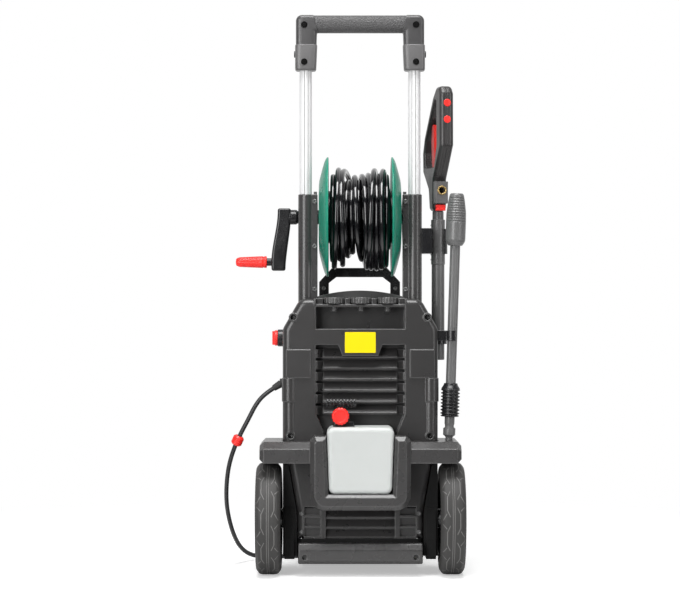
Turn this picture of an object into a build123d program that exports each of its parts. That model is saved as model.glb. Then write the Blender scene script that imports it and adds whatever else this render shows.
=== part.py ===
"""Upright electric pressure washer with a hose reel, a telescopic handle, a lance and two wheels.

Millimetres. +X is to the right when the machine is seen from its handle side, +Y points to its front
(the side with the water inlet), +Z is up. The origin is on the floor, under the middle of the front foot.
"""

from build123d import *
import os
from math import cos, pi, radians, sin, tan

os.makedirs("parts", exist_ok=True)

# ---------------------------------------------------------------- clearances and walls
GAP = 0.3  # between pieces of different bodies
RUN = 0.05  # radial play of a shaft in its bearing
FIT = 0.1  # play between fixed pieces that slot together
WALL = 3.0  # moulded covers
SIDES = (-1, 1)

# ---------------------------------------------------------------- depths, along Y
FOOT_DEPTH = 36
FRONT_Y = 34
SPLIT_Y = -125
REAR_Y = -205
COLUMN_Y = -148
REEL_Y = -115
AXLE_Y = -180
MOTOR_Y = -62

# ---------------------------------------------------------------- body outline, half widths and heights
BODY_HALF = 139
ANKLE_HALF = BODY_HALF - 26
ANKLE_Z = 112
WAIST_HALF = BODY_HALF - 11
WAIST_Z = 198
BELLY_Z = 243
SHOULDER_Z = 441
NECK_HALF = BODY_HALF - 31
BODY_TOP = 495
FRONT_HALF = BODY_HALF - 17
DOME_TOP = 510
DOME_HALF = BODY_HALF - 47
DOME_SLOPE = 30
EDGE_ROUND = 12
CORNER_ROUND = 20
FRONT_ROUND = 12
FRONT_CORNER_ROUND = 14
FRONT_WALL = 6

# ---------------------------------------------------------------- foot, base, wheels
FOOT_WIDTH = 160
FOOT_SOLE = 6
BASE_BOTTOM = 29
BASE_TOP = 66
WHEEL_RADIUS = 100
WHEEL_WIDTH = 45
WHEEL_OUTER_X = BODY_HALF + 47.5
TYRE_INNER_RADIUS = 74
TYRE_SHOULDER = 8
HUB_RADIUS = 17
SPOKE_WINDOWS = 6
AXLE_RADIUS = 6
WASHER_THICKNESS = 2
BUMPER_HALF = ANKLE_HALF - 2
BUMPER_DEPTH = 28
BUMPER_BOTTOM = 23
BUMPER_TOP = 60
ARCH_PLAY = 3  # between an arch wall and its wheel
ARCH_RISE = 5

# ---------------------------------------------------------------- rear face
BAY_HALF = BODY_HALF - 59
BAY_DEPTH = 27
SHELF_RECESS_DEPTH = 36
BAND_BOTTOM = 413
PIT_DEPTH = 13
PIT_RADIUS = 5
TAB_BOTTOM = BAND_BOTTOM - 20
TAB_TOP_HALF = 40
TAB_BOTTOM_HALF = 32
LOUVRE_BOTTOM = 288
LOUVRE_PITCH = 20.2
LOUVRE_COUNT = 6
LOUVRE_HALF = 66
SLAT_REACH = 15
LABEL_WIDTH = 55
LABEL_HEIGHT = 37
LABEL_THICKNESS = 0.6
LABEL_Z = BAND_BOTTOM + 4
VENT_DEPTH = 14
VENT_BACKING = 3
VENT_SLATS = 3
VENT_PITCH = 18

# ---------------------------------------------------------------- tank, its cradle and the fenders
TANK_TOP_HALF = BAY_HALF - 20
TANK_BOTTOM_HALF = TANK_TOP_HALF - 4
TANK_BOTTOM = 150
TANK_TOP = 268
TANK_DEPTH = 74
TANK_WALL = 2
TANK_ROUND = 12
TANK_EDGE = 8
TANK_FILLER_RADIUS = 9
CRADLE_HALF = BAY_HALF + 9
CRADLE_BOTTOM = 121
CRADLE_TOP = 252
CRADLE_PROUD = 57
CRADLE_ROUND = 27
CRADLE_BEVEL = 8
CRADLE_INNER_BEVEL = 6
FENDER_OUTER_X = BODY_HALF + 40
FENDER_BOTTOM = 204
FENDER_TOP = 241
FENDER_FRONT_Y = -120
FENDER_SETBACK = 10
FENDER_SLOPE = (18, 12)
CAP_X = -35.5
CAP_Z = 287
CAP_RADIUS = 15.5
CAP_THICKNESS = 15
VALVE_LEFT = 13
VALVE_RIGHT = 25
VALVE_DEPTH = 24
TAIL_RISE = 22.5
TAIL_RIBS = 9
TAIL_PITCH = 6

# ---------------------------------------------------------------- parked nozzle tips
TIP_XS = (-47, 1, 49)
TIP_RADIUS = 18.5
TIP_THICKNESS = 13
TIP_STEM_RADIUS = 6.5
TIP_STEM_LENGTH = 13
SHELF_BOTTOM = 480
SHELF_TOP = 496
SHELF_FLOOR = 5
SHELF_WALL_SETBACK = 9

# ---------------------------------------------------------------- columns and telescopic handle
COLUMN_X = BODY_HALF - 40.5
COLUMN_RADIUS = 13.5
COLUMN_TOP = 684
COLUMN_INNER_X = COLUMN_X - 21.5
WEB_HALF = 9
TUBE_RADIUS = 11
TUBE_WALL = 1.2
TUBE_OVERLAP = 120
HANDLE_TRAVEL = 190
COLUMN_BOTTOM = COLUMN_TOP - TUBE_OVERLAP - HANDLE_TRAVEL - 24
GRIP_HALF = COLUMN_X + 18.5
GRIP_INNER_HALF = COLUMN_X - 20.5
GRIP_TOP = 1009
GRIP_BOTTOM = GRIP_TOP - 101
GRIP_BAR = 33
GRIP_HALF_DEPTH = 18
GRIP_CORNER_CUT = 3
GRIP_ROUND = 6
GRIP_GROOVE = (1.4, 1)
GRIP_GROOVE_Z = GRIP_TOP - 54
BUTTON_RADIUS = 6
BUTTON_Z = GRIP_TOP - 71
BUTTON_PROUD = 2.6
BUTTON_TRAVEL = 2.2
SCREW_HEAD = 4.5
SCREW_HEIGHT = 2.5
COLUMN_SCREW_DROPS = (13, 94, 172)
ANKLE_SCREW_PITCH = 33

# ---------------------------------------------------------------- hose reel
REEL_Z = 644
SHAFT_RADIUS = 8
DRUM_RADIUS = 48
FLANGE_RADIUS = 110
FLANGE_HUB_X = COLUMN_INNER_X - 2
FLANGE_RIM_X = FLANGE_HUB_X - 18
FLANGE_SHEET = 3
WINDING_RADIUS = 91
BUSH_RADIUS = 13
BUSH_END_X = COLUMN_X - 6.5
EAR_THICKNESS = 8
CRANK_RADIUS = 82
CRANK_TOP_X = -COLUMN_X - 39.5
CRANK_LOW_X = CRANK_TOP_X - 10
CRANK_THICK = 24
CRANK_DEPTH = 22
CRANK_PIN_RADIUS = 5
GRIP_KNOB_RADIUS = 10.8
GRIP_KNOB_END = CRANK_LOW_X - 79
CROSS_FOOT_X = COLUMN_INNER_X - 11
CROSS_BAR_HALF = CROSS_FOOT_X - 15
CROSS_BAR_TOP = 552
CROSS_BAR_SECTION = 17
CROSS_BAR_Y = -51
CROSS_BAR_DEPTH = 12

# ---------------------------------------------------------------- switch and cord
SWITCH_Y = -150
SWITCH_Z = 424
SWITCH_RADIUS = 15.5
SWITCH_DISC = 10
KNOB_RADIUS = 14
KNOB_THICKNESS = 9.7
CORD_RADIUS = 4
CLIP_PLAY = 0.5
GLAND_Y = -165
GLAND_Z = 343
GLAND_LENGTH = 18
GLAND_DROP = 32
GLAND_RADIUS = 8
COIL_X = -45
COIL_Y = 118
COIL_RADIUS = 48
COIL_SECTION = 16
PLUG_LENGTH = 48
PLUG_RADIUS = 19
PLUG_TAIL = 32
PLUG_PIN_SPREAD = 9.5
PLUG_PIN_LENGTH = 19

# ---------------------------------------------------------------- motor and pump
MOTOR_RADIUS = 58
MOTOR_BOTTOM = 205
MOTOR_TOP = 385
MOTOR_SHELL = 4
ROTOR_RADIUS = 48
FAN_RADIUS = 46
PUMP_RADIUS = 50
PUMP_TOP = 200
PUMP_CHAMBER_BOTTOM = 120
PISTON_RADIUS = 8
PISTON_PITCH_RADIUS = 26
PISTON_COUNT = 3
SWASH_RADIUS = 36
SWASH_TILT = 8
SWASH_Z = 166
SWASH_HALF_THICK = 5
INLET_X = -30
INLET_Z = 95
INLET_RADIUS = 13.2
INLET_LENGTH = 20
PIPE_RADIUS = 4
PIPE_X = COLUMN_X + 3.5
PIPE_BEND = 18

# ---------------------------------------------------------------- gun
GUN_X = BODY_HALF + 4.5
GUN_Y = -100
GUN_TURN = 15
GUN_HALF_THICK = 13
GUN_BACK_ROUND = 8
GUN_SEAM = 0.7
GUN_NOSE_Z = 655
GUN_KINK_Z = 772
GUN_TOP_Z = 881
GUN_BARREL_RADIUS = 11.8
GUN_BARREL_END = 383
GUN_SLEEVE_RADIUS = 12.8
GUN_SLEEVE_BOTTOM = 558
GUN_SLEEVE_TOP = 640
GUN_BLOCK_BOTTOM = 669
GUN_BLOCK_TOP = 709
GUN_INLET_RADIUS = 5.5
GUN_INLET_Z = 693
TRIGGER_HALF = 8
TRIGGER_PIVOT_U = 2
TRIGGER_PIVOT_Z = 728
HOLDER_BOTTOM = 577
HOLDER_TOP = 623
HOLDER_MOUTH = 10
BARREL_RING = (412, 434)

# ---------------------------------------------------------------- lance
LANCE_X = BODY_HALF + 20.2
LANCE_Y = -185
LANCE_FOOT_Z = 232.5
LANCE_TILT = 1.84
LANCE_TUBE_RADIUS = 9
SLEEVE_RADIUS = 17
SLEEVE_FOOT = 51
SLEEVE_LENGTH = 60
SLEEVE_RIBS = 8
HEAD_FOOT = 358
HEAD_LENGTH = 94
HEAD_RADIUS = 18
LANCE_CLIP_Z = 429
LANCE_CLIP_HEIGHT = 18


# ---------------------------------------------------------------- drawing helpers
def facing_rear(y):
    """Plane across the machine at this y, drawn in x and z. A negative extrusion goes forward."""
    return Plane.XZ.offset(-y)


def facing_side(x):
    """Plane along the machine at this x, drawn in y and z."""
    return Plane.YZ.offset(x)


def outline(plane, points, radius=0, rounded=None):
    """Flat shape with straight sides between the points, its chosen corners rounded."""
    with BuildSketch(plane) as drawn:
        with BuildLine():
            Polyline(*points, close=True)
        make_face()
        if radius:
            corners = drawn.vertices()
            if rounded:
                corners = corners.filter_by(rounded)
            fillet(corners, radius)
    return drawn.sketch


def prism(plane, points, depth, radius=0, rounded=None, mode=Mode.ADD):
    """Straight extrusion of an outline."""
    extrude(outline(plane, points, radius, rounded), amount=depth, mode=mode)


def block(xs, ys, zs, mode=Mode.ADD):
    """Box between two limits on each axis."""
    with Locations((sum(xs) / 2, sum(ys) / 2, sum(zs) / 2)):
        Box(abs(xs[1] - xs[0]), abs(ys[1] - ys[0]), abs(zs[1] - zs[0]), mode=mode)


def rod_x(xs, y, z, radius, mode=Mode.ADD):
    """Cylinder along X between two ends."""
    with Locations((sum(xs) / 2, y, z)):
        Cylinder(radius, abs(xs[1] - xs[0]), rotation=(0, 90, 0), mode=mode)


def rod_y(x, ys, z, radius, mode=Mode.ADD):
    """Cylinder along Y between two ends."""
    with Locations((x, sum(ys) / 2, z)):
        Cylinder(radius, abs(ys[1] - ys[0]), rotation=(90, 0, 0), mode=mode)


def rod_z(x, y, zs, radius, mode=Mode.ADD):
    """Cylinder along Z between two ends."""
    with Locations((x, y, sum(zs) / 2)):
        Cylinder(radius, abs(zs[1] - zs[0]), mode=mode)


def turned(points, origin, axis, mode=Mode.ADD):
    """Solid of revolution about the axis; each point is (distance along it, radius)."""
    along = Vector(*axis).normalized()
    side = Vector(0, 1, 0) if abs(along.Y) < 0.9 else Vector(1, 0, 0)
    out = side.cross(along).normalized()
    section = Plane(origin=origin, x_dir=along, z_dir=along.cross(out))
    revolve(outline(section, points), axis=Axis(origin, tuple(along)), mode=mode)


def save(piece, label):
    """Name a finished piece and write its file."""
    piece.label = label
    export_step(piece, f"parts/{label}.step")


def hand(side):
    """Word for the left (-1) or right (1) side."""
    return "left" if side < 0 else "right"


def screw_rear(x, y, z, radius=SCREW_HEAD, height=SCREW_HEIGHT):
    """Pan head with a cross recess, its seat at y and its top towards the rear."""
    rod_y(x, (y, y - height), z, radius)
    for width, tall in ((radius * 1.2, radius * 0.3), (radius * 0.3, radius * 1.2)):
        block(
            (x - width / 2, x + width / 2),
            (y - height - 1, y - height * 0.5),
            (z - tall / 2, z + tall / 2),
            mode=Mode.SUBTRACT,
        )


# ---------------------------------------------------------------- base tray, foot, axle and bumper
wheel_inner_x = WHEEL_OUTER_X - WHEEL_WIDTH
cheek_outer_x = wheel_inner_x - 6
cheek_inner_x = ANKLE_HALF + 5
cheek_front_y = AXLE_Y + 45
cheek_rear_y = AXLE_Y - 28
cheek_top = WHEEL_RADIUS + 28
arch_front_y = AXLE_Y + 40
arch_rear_y = AXLE_Y - 22
arch_outer_x = wheel_inner_x - ARCH_PLAY
arch_top = WAIST_Z + ARCH_RISE
arch_top_x = WAIST_HALF + (BODY_HALF - WAIST_HALF) * ARCH_RISE / (BELLY_Z - WAIST_Z)

with BuildPart() as base_tray:
    block((-ANKLE_HALF, ANKLE_HALF), (REAR_Y, FRONT_Y), (BASE_BOTTOM, BASE_TOP))
    fillet(base_tray.edges().filter_by(Axis.Z), EDGE_ROUND)
    fillet(base_tray.faces().sort_by(Axis.Z)[0].edges(), 5)
    block(
        (-ANKLE_HALF + WALL, ANKLE_HALF - WALL),
        (REAR_Y + WALL, FRONT_Y - WALL),
        (BASE_BOTTOM + WALL + 1, BASE_TOP),
        mode=Mode.SUBTRACT,
    )
    block(
        (-FOOT_WIDTH / 2, FOOT_WIDTH / 2),
        (-FOOT_DEPTH / 2, FOOT_DEPTH / 2),
        (FOOT_SOLE, BASE_BOTTOM + WALL),
    )
    for side in SIDES:
        prism(
            facing_side(side * cheek_inner_x),
            [
                (cheek_rear_y, BASE_BOTTOM),
                (cheek_front_y, BASE_BOTTOM),
                (cheek_front_y, BASE_TOP),
                (AXLE_Y + 22, cheek_top),
                (AXLE_Y - 22, cheek_top),
                (cheek_rear_y, BASE_TOP),
            ],
            side * (cheek_outer_x - cheek_inner_x),
            radius=8,
        )
        prism(
            facing_rear(arch_rear_y),
            [
                (side * (ANKLE_HALF + GAP), BASE_BOTTOM + 6),
                (side * (ANKLE_HALF + GAP), ANKLE_Z),
                (side * (WAIST_HALF + GAP), WAIST_Z),
                (side * (arch_top_x + GAP), arch_top),
                (side * arch_outer_x, arch_top),
                (side * arch_outer_x, BASE_BOTTOM + 6),
            ],
            arch_rear_y - arch_front_y,
        )
        block(
            (side * (ANKLE_HALF - WALL), side * (cheek_inner_x + 1)),
            (REAR_Y + EDGE_ROUND, cheek_front_y),
            (BASE_BOTTOM + 6, BASE_TOP - 8),
        )
        rod_x(
            (side * (cheek_outer_x - 1), side * (cheek_outer_x + 4)),
            AXLE_Y,
            WHEEL_RADIUS,
            HUB_RADIUS,
        )
    rod_x((-WHEEL_OUTER_X, WHEEL_OUTER_X), AXLE_Y, WHEEL_RADIUS, AXLE_RADIUS, mode=Mode.SUBTRACT)
save(base_tray.part, "base_tray")

with BuildPart() as front_foot:
    block(
        (-FOOT_WIDTH / 2 + 2, FOOT_WIDTH / 2 - 2),
        (-FOOT_DEPTH / 2 + 2, FOOT_DEPTH / 2 - 2),
        (0, FOOT_SOLE),
    )
    fillet(front_foot.edges().filter_by(Axis.Z), 4)
    fillet(front_foot.faces().sort_by(Axis.Z)[0].edges(), 1.5)
save(front_foot.part, "front_foot")

hub_outer_x = WHEEL_OUTER_X - 7
hub_inner_x = cheek_outer_x + 4 + GAP
axle_end_x = hub_outer_x + GAP + WASHER_THICKNESS + 2

with BuildPart() as axle:
    rod_x((-axle_end_x, axle_end_x), AXLE_Y, WHEEL_RADIUS, AXLE_RADIUS)
    for side in SIDES:
        rod_x(
            (side * (hub_outer_x + GAP), side * (hub_outer_x + GAP + WASHER_THICKNESS)),
            AXLE_Y,
            WHEEL_RADIUS,
            AXLE_RADIUS + 4,
        )
save(axle.part, "axle")

with BuildPart() as bumper_bar:
    prism(
        facing_side(-BUMPER_HALF),
        [
            (REAR_Y, BUMPER_BOTTOM + 8),
            (REAR_Y, BUMPER_TOP),
            (REAR_Y - BUMPER_DEPTH + 7, BUMPER_TOP),
            (REAR_Y - BUMPER_DEPTH, BUMPER_TOP - 12),
            (REAR_Y - BUMPER_DEPTH, BUMPER_BOTTOM + 7),
            (REAR_Y - BUMPER_DEPTH + 8, BUMPER_BOTTOM),
            (REAR_Y - 8, BUMPER_BOTTOM),
        ],
        2 * BUMPER_HALF,
        radius=3,
    )
    fillet(bumper_bar.faces().filter_by(Axis.X).edges(), 2.5)
    for side in SIDES:
        rod_y(
            side * (BUMPER_HALF - 12),
            (REAR_Y - BUMPER_DEPTH - 1, REAR_Y - BUMPER_DEPTH + 9),
            BUMPER_BOTTOM + 13,
            5,
            mode=Mode.SUBTRACT,
        )
save(bumper_bar.part, "bumper_bar")

# ---------------------------------------------------------------- wheels
for side in SIDES:
    tyre_middle = WHEEL_OUTER_X - WHEEL_WIDTH / 2
    with BuildPart() as tyre:
        rod_x((side * wheel_inner_x, side * WHEEL_OUTER_X), AXLE_Y, WHEEL_RADIUS, WHEEL_RADIUS)
        chamfer(tyre.edges().filter_by(GeomType.CIRCLE), TYRE_SHOULDER)
        rod_x(
            (side * wheel_inner_x, side * WHEEL_OUTER_X),
            AXLE_Y,
            WHEEL_RADIUS,
            TYRE_INNER_RADIUS,
            mode=Mode.SUBTRACT,
        )
    save(tyre.part, f"wheel_{hand(side)}_tyre")

    with BuildPart() as rim:
        turned(
            [
                (side * hub_inner_x, 0),
                (side * hub_inner_x, HUB_RADIUS),
                (side * (tyre_middle - 4), HUB_RADIUS + 3),
                (side * (tyre_middle - 4), TYRE_INNER_RADIUS - 8),
                (side * (wheel_inner_x + 3), TYRE_INNER_RADIUS - 5),
                (side * (wheel_inner_x + 3), TYRE_INNER_RADIUS),
                (side * (WHEEL_OUTER_X - 3), TYRE_INNER_RADIUS),
                (side * (WHEEL_OUTER_X - 3), TYRE_INNER_RADIUS - 5),
                (side * (tyre_middle + 4), TYRE_INNER_RADIUS - 8),
                (side * (tyre_middle + 4), HUB_RADIUS + 9),
                (side * hub_outer_x, HUB_RADIUS + 5),
                (side * hub_outer_x, 0),
            ],
            (0, AXLE_Y, WHEEL_RADIUS),
            (1, 0, 0),
        )
        window_radius = (TYRE_INNER_RADIUS - 8 + HUB_RADIUS + 9) / 2
        for index in range(SPOKE_WINDOWS):
            angle = 2 * pi * (index + 0.5) / SPOKE_WINDOWS
            rod_x(
                (side * (tyre_middle - 6), side * (tyre_middle + 6)),
                AXLE_Y + window_radius * cos(angle),
                WHEEL_RADIUS + window_radius * sin(angle),
                (TYRE_INNER_RADIUS - HUB_RADIUS) / 4 - 2,
                mode=Mode.SUBTRACT,
            )
        rod_x((0, side * WHEEL_OUTER_X), AXLE_Y, WHEEL_RADIUS, AXLE_RADIUS + RUN, mode=Mode.SUBTRACT)
    save(rim.part, f"wheel_{hand(side)}_rim")


# ---------------------------------------------------------------- covers
def right_side(half, neck, inset=0):
    """Right edge of the body outline, from the base to the shoulder."""
    narrow = BODY_HALF - half
    return [
        (ANKLE_HALF - inset, BASE_TOP),
        (ANKLE_HALF - inset, ANKLE_Z),
        (WAIST_HALF - narrow / 2 - inset, WAIST_Z),
        (half - inset, BELLY_Z),
        (half - inset, SHOULDER_Z),
        (neck - inset, BODY_TOP - inset),
    ]


def closed_body(half, neck, inset=0):
    """Whole body outline, its left edge a mirror image of the right one."""
    right = right_side(half, neck, inset)
    return right + [(-x, z) for x, z in reversed(right)]


def above_base(corner):
    """Whether a corner of the body outline, drawn with y up, is one of the rounded ones."""
    return corner.Y > BASE_TOP + 1


def column_section(plane, play):
    """Plan of a column pair: a round tube with a flat web on its inner side."""
    with BuildSketch(plane) as drawn:
        with Locations((COLUMN_X, COLUMN_Y), (-COLUMN_X, COLUMN_Y)):
            Circle(COLUMN_RADIUS + play)
        web_middle = (COLUMN_INNER_X + COLUMN_X) / 2
        with Locations((web_middle, COLUMN_Y), (-web_middle, COLUMN_Y)):
            Rectangle(COLUMN_X - COLUMN_INNER_X + 2 * play, 2 * (WEB_HALF + play))
    return drawn.sketch


bay_back_y = REAR_Y + BAY_DEPTH
shelf_back_y = REAR_Y + SHELF_RECESS_DEPTH
tank_bay_half = TANK_TOP_HALF + 6
screw_xs = (BODY_HALF - 19, BODY_HALF - 14.5)
screw_zs = (SHOULDER_Z + 21, BELLY_Z + 7)
vent_half = LOUVRE_HALF - 4
vent_back_y = REAR_Y + VENT_DEPTH

with BuildPart() as rear_hollow:
    prism(
        facing_rear(REAR_Y + WALL),
        closed_body(BODY_HALF, NECK_HALF, WALL),
        REAR_Y + WALL - SPLIT_Y,
        CORNER_ROUND - WALL,
        above_base,
    )
    fillet(rear_hollow.faces().sort_by(Axis.Y)[0].edges(), EDGE_ROUND - WALL)

with BuildPart() as rear_cover:
    prism(
        facing_rear(REAR_Y),
        closed_body(BODY_HALF, NECK_HALF),
        REAR_Y - SPLIT_Y,
        CORNER_ROUND,
        above_base,
    )
    fillet(rear_cover.faces().sort_by(Axis.Y)[0].edges(), EDGE_ROUND)
    add(rear_hollow.part, mode=Mode.SUBTRACT)
    block((-BAY_HALF - WALL, BAY_HALF + WALL), (REAR_Y, bay_back_y + WALL), (BASE_TOP, SHOULDER_Z))
    block(
        (-BAY_HALF - WALL, BAY_HALF + WALL),
        (REAR_Y, shelf_back_y + WALL),
        (SHOULDER_Z - WALL, BODY_TOP),
    )
    block(
        (-BAY_HALF, BAY_HALF),
        (REAR_Y - 1, shelf_back_y),
        (SHOULDER_Z, BODY_TOP + 1),
        mode=Mode.SUBTRACT,
    )
    prism(
        facing_rear(REAR_Y - 1),
        [
            (-tank_bay_half, TANK_BOTTOM - GAP),
            (tank_bay_half, TANK_BOTTOM - GAP),
            (tank_bay_half, TANK_TOP - 12),
            (BAY_HALF, LOUVRE_BOTTOM + 2),
            (BAY_HALF, BAND_BOTTOM),
            (-BAY_HALF, BAND_BOTTOM),
            (-BAY_HALF, LOUVRE_BOTTOM + 2),
            (-tank_bay_half, TANK_TOP - 12),
        ],
        -BAY_DEPTH - 1,
        mode=Mode.SUBTRACT,
    )
    for index in range(LOUVRE_COUNT):
        slat_low = LOUVRE_BOTTOM + index * LOUVRE_PITCH
        for half, reach in ((BAY_HALF - 0.5, SLAT_REACH * 0.35), (LOUVRE_HALF, SLAT_REACH)):
            prism(
                facing_side(-half),
                [
                    (bay_back_y + 1, slat_low + LOUVRE_PITCH - 3),
                    (bay_back_y, slat_low + LOUVRE_PITCH - 3),
                    (bay_back_y - reach, slat_low + 3),
                    (bay_back_y - reach, slat_low),
                    (bay_back_y + 1, slat_low),
                ],
                2 * half,
            )
        for side in SIDES:
            prism(
                Plane.XY.offset(slat_low),
                [
                    (side * (BAY_HALF + 1), bay_back_y),
                    (side * LOUVRE_HALF, bay_back_y),
                    (side * (BAY_HALF - 3), REAR_Y + 3),
                    (side * (BAY_HALF + 1), REAR_Y + 3),
                ],
                LOUVRE_PITCH * 0.75,
            )
    prism(
        facing_rear(REAR_Y),
        [
            (-TAB_TOP_HALF, BAND_BOTTOM + 1),
            (-TAB_BOTTOM_HALF, TAB_BOTTOM),
            (TAB_BOTTOM_HALF, TAB_BOTTOM),
            (TAB_TOP_HALF, BAND_BOTTOM + 1),
        ],
        -8,
    )
    block(
        (-ANKLE_HALF + EDGE_ROUND, ANKLE_HALF - EDGE_ROUND),
        (REAR_Y + 1, vent_back_y + VENT_BACKING),
        (BASE_TOP, CRADLE_BOTTOM),
    )
    block(
        (-vent_half, vent_half),
        (REAR_Y - 1, vent_back_y),
        (BASE_TOP, CRADLE_BOTTOM - 1),
        mode=Mode.SUBTRACT,
    )
    for index in range(VENT_SLATS):
        slat_low = BASE_TOP + VENT_PITCH * index
        prism(
            facing_side(-vent_half),
            [
                (vent_back_y, slat_low + VENT_PITCH - 3),
                (REAR_Y + 4, slat_low + 3),
                (REAR_Y + 4, slat_low),
                (vent_back_y, slat_low),
            ],
            2 * vent_half,
        )
        for side in SIDES:
            block(
                (side * (LOUVRE_HALF + 5), side * (ANKLE_HALF - EDGE_ROUND - 1)),
                (REAR_Y - 1, REAR_Y + 8),
                (slat_low + index + 4, slat_low + index + 19),
                mode=Mode.SUBTRACT,
            )
    for side in SIDES:
        block(
            (side * (BAY_HALF + 9), side * (BODY_HALF - 6)),
            (REAR_Y - 3, REAR_Y + 6),
            (354, 404),
        )
        rod_z(side * (BODY_HALF - 13.5), REAR_Y + 10, (BELLY_Z + 4, 311), 12)
        rod_z(side * (BODY_HALF - 12.5), REAR_Y + 10, (311, 353), 14)
        for x, z in zip(screw_xs, screw_zs):
            rod_y(side * x, (REAR_Y - 1, REAR_Y + PIT_DEPTH + 5), z, PIT_RADIUS + 3)
            rod_y(side * x, (REAR_Y - 6, REAR_Y + PIT_DEPTH), z, PIT_RADIUS, mode=Mode.SUBTRACT)
    extrude(column_section(Plane.XY.offset(BODY_TOP - 40), FIT), amount=80, mode=Mode.SUBTRACT)
    rod_x((-BODY_HALF, BODY_HALF), AXLE_Y, WHEEL_RADIUS, AXLE_RADIUS + 1, mode=Mode.SUBTRACT)
    rod_x((-BODY_HALF - 1, -BODY_HALF + 20), GLAND_Y, GLAND_Z, GLAND_RADIUS - 2, mode=Mode.SUBTRACT)
    rod_x((-BODY_HALF - 1, -BODY_HALF + 20), SWITCH_Y, SWITCH_Z, SWITCH_RADIUS - 3, mode=Mode.SUBTRACT)
save(rear_cover.part, "rear_cover")


def front_outline():
    """Front cover outline with its domed top, from the base round to the base."""
    with BuildSketch(facing_rear(SPLIT_Y)) as drawn:
        with BuildLine():
            right = right_side(FRONT_HALF, DOME_HALF)
            left = [(-x, z) for x, z in reversed(right)]
            Polyline(*right)
            ThreePointArc(right[-1], (0, DOME_TOP), left[0])
            Polyline(*left)
            Line(left[-1], right[0])
        make_face()
    return drawn.sketch


def above_base_edge(edge):
    """Whether an edge along the depth of the front cover is above the base."""
    return edge.center().Z > BASE_TOP + 1


with BuildPart() as front_cover:
    extrude(front_outline(), amount=-(FRONT_Y - SPLIT_Y))
    fillet(front_cover.edges().filter_by(Axis.Y).filter_by(above_base_edge), FRONT_CORNER_ROUND)
    fillet(front_cover.faces().sort_by(Axis.Y)[-1].edges(), FRONT_ROUND)
    prism(
        facing_rear(SPLIT_Y),
        closed_body(FRONT_HALF, DOME_HALF, WALL),
        -(FRONT_Y - SPLIT_Y - FRONT_WALL),
        mode=Mode.SUBTRACT,
    )
    prism(
        facing_side(-BODY_HALF),
        [
            (SPLIT_Y - 1, BODY_TOP + 1),
            (SPLIT_Y + DOME_SLOPE, DOME_TOP + 1),
            (SPLIT_Y - 1, DOME_TOP + 1),
        ],
        2 * BODY_HALF,
        mode=Mode.SUBTRACT,
    )
    rod_y(INLET_X, (FRONT_Y - 20, FRONT_Y + 1), INLET_Z, INLET_RADIUS + 3, mode=Mode.SUBTRACT)
    rod_z(PIPE_X, REEL_Y, (SHOULDER_Z, DOME_TOP), PIPE_RADIUS + 2, mode=Mode.SUBTRACT)
save(front_cover.part, "front_cover")

tip_y = REAR_Y + TIP_RADIUS - 3
with BuildPart() as nozzle_shelf:
    block(
        (-BAY_HALF + FIT, BAY_HALF - FIT),
        (REAR_Y + 1, shelf_back_y),
        (SHELF_BOTTOM, SHELF_BOTTOM + SHELF_FLOOR),
    )
    fillet(nozzle_shelf.edges().filter_by(Axis.X).group_by(Axis.Y)[0], 1.5)
    block(
        (-BAY_HALF + FIT, BAY_HALF - FIT),
        (REAR_Y + SHELF_WALL_SETBACK, shelf_back_y),
        (SHELF_BOTTOM, SHELF_TOP),
    )
    for x in TIP_XS:
        rod_z(x, tip_y, (SHELF_BOTTOM + SHELF_FLOOR, SHELF_TOP + 1), TIP_RADIUS + 2, mode=Mode.SUBTRACT)
        rod_z(x, tip_y, (SHELF_BOTTOM - 1, SHELF_TOP), TIP_STEM_RADIUS + GAP, mode=Mode.SUBTRACT)
save(nozzle_shelf.part, "nozzle_shelf")

for x, place in zip(TIP_XS, ("left", "middle", "right")):
    seat_z = SHELF_BOTTOM + SHELF_FLOOR + GAP
    with BuildPart() as nozzle_tip:
        rod_z(x, tip_y, (seat_z, seat_z + TIP_THICKNESS), TIP_RADIUS)
        fillet(nozzle_tip.edges().filter_by(GeomType.CIRCLE), 2)
        for index in range(12):
            angle = 2 * pi * index / 12
            rod_z(
                x + (TIP_RADIUS + 0.6) * cos(angle),
                tip_y + (TIP_RADIUS + 0.6) * sin(angle),
                (seat_z - 1, seat_z + TIP_THICKNESS + 1),
                1.8,
                mode=Mode.SUBTRACT,
            )
        rod_z(x, tip_y, (seat_z - TIP_STEM_LENGTH, seat_z + 1), TIP_STEM_RADIUS)
        rod_z(x, tip_y, (seat_z - TIP_STEM_LENGTH + 2, seat_z - TIP_STEM_LENGTH + 4), TIP_STEM_RADIUS - 1.5)
        rod_z(x, tip_y, (seat_z - TIP_STEM_LENGTH - 1, seat_z + TIP_THICKNESS + 1), 1.5, mode=Mode.SUBTRACT)
    save(nozzle_tip.part, f"nozzle_tip_{place}")

with BuildPart() as label_plate:
    prism(
        facing_rear(REAR_Y),
        [
            (-LABEL_WIDTH / 2, LABEL_Z - LABEL_HEIGHT / 2),
            (LABEL_WIDTH / 2, LABEL_Z - LABEL_HEIGHT / 2),
            (LABEL_WIDTH / 2, LABEL_Z + LABEL_HEIGHT / 2),
            (-LABEL_WIDTH / 2, LABEL_Z + LABEL_HEIGHT / 2),
        ],
        LABEL_THICKNESS,
        radius=1.5,
    )
save(label_plate.part, "label_plate")

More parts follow.
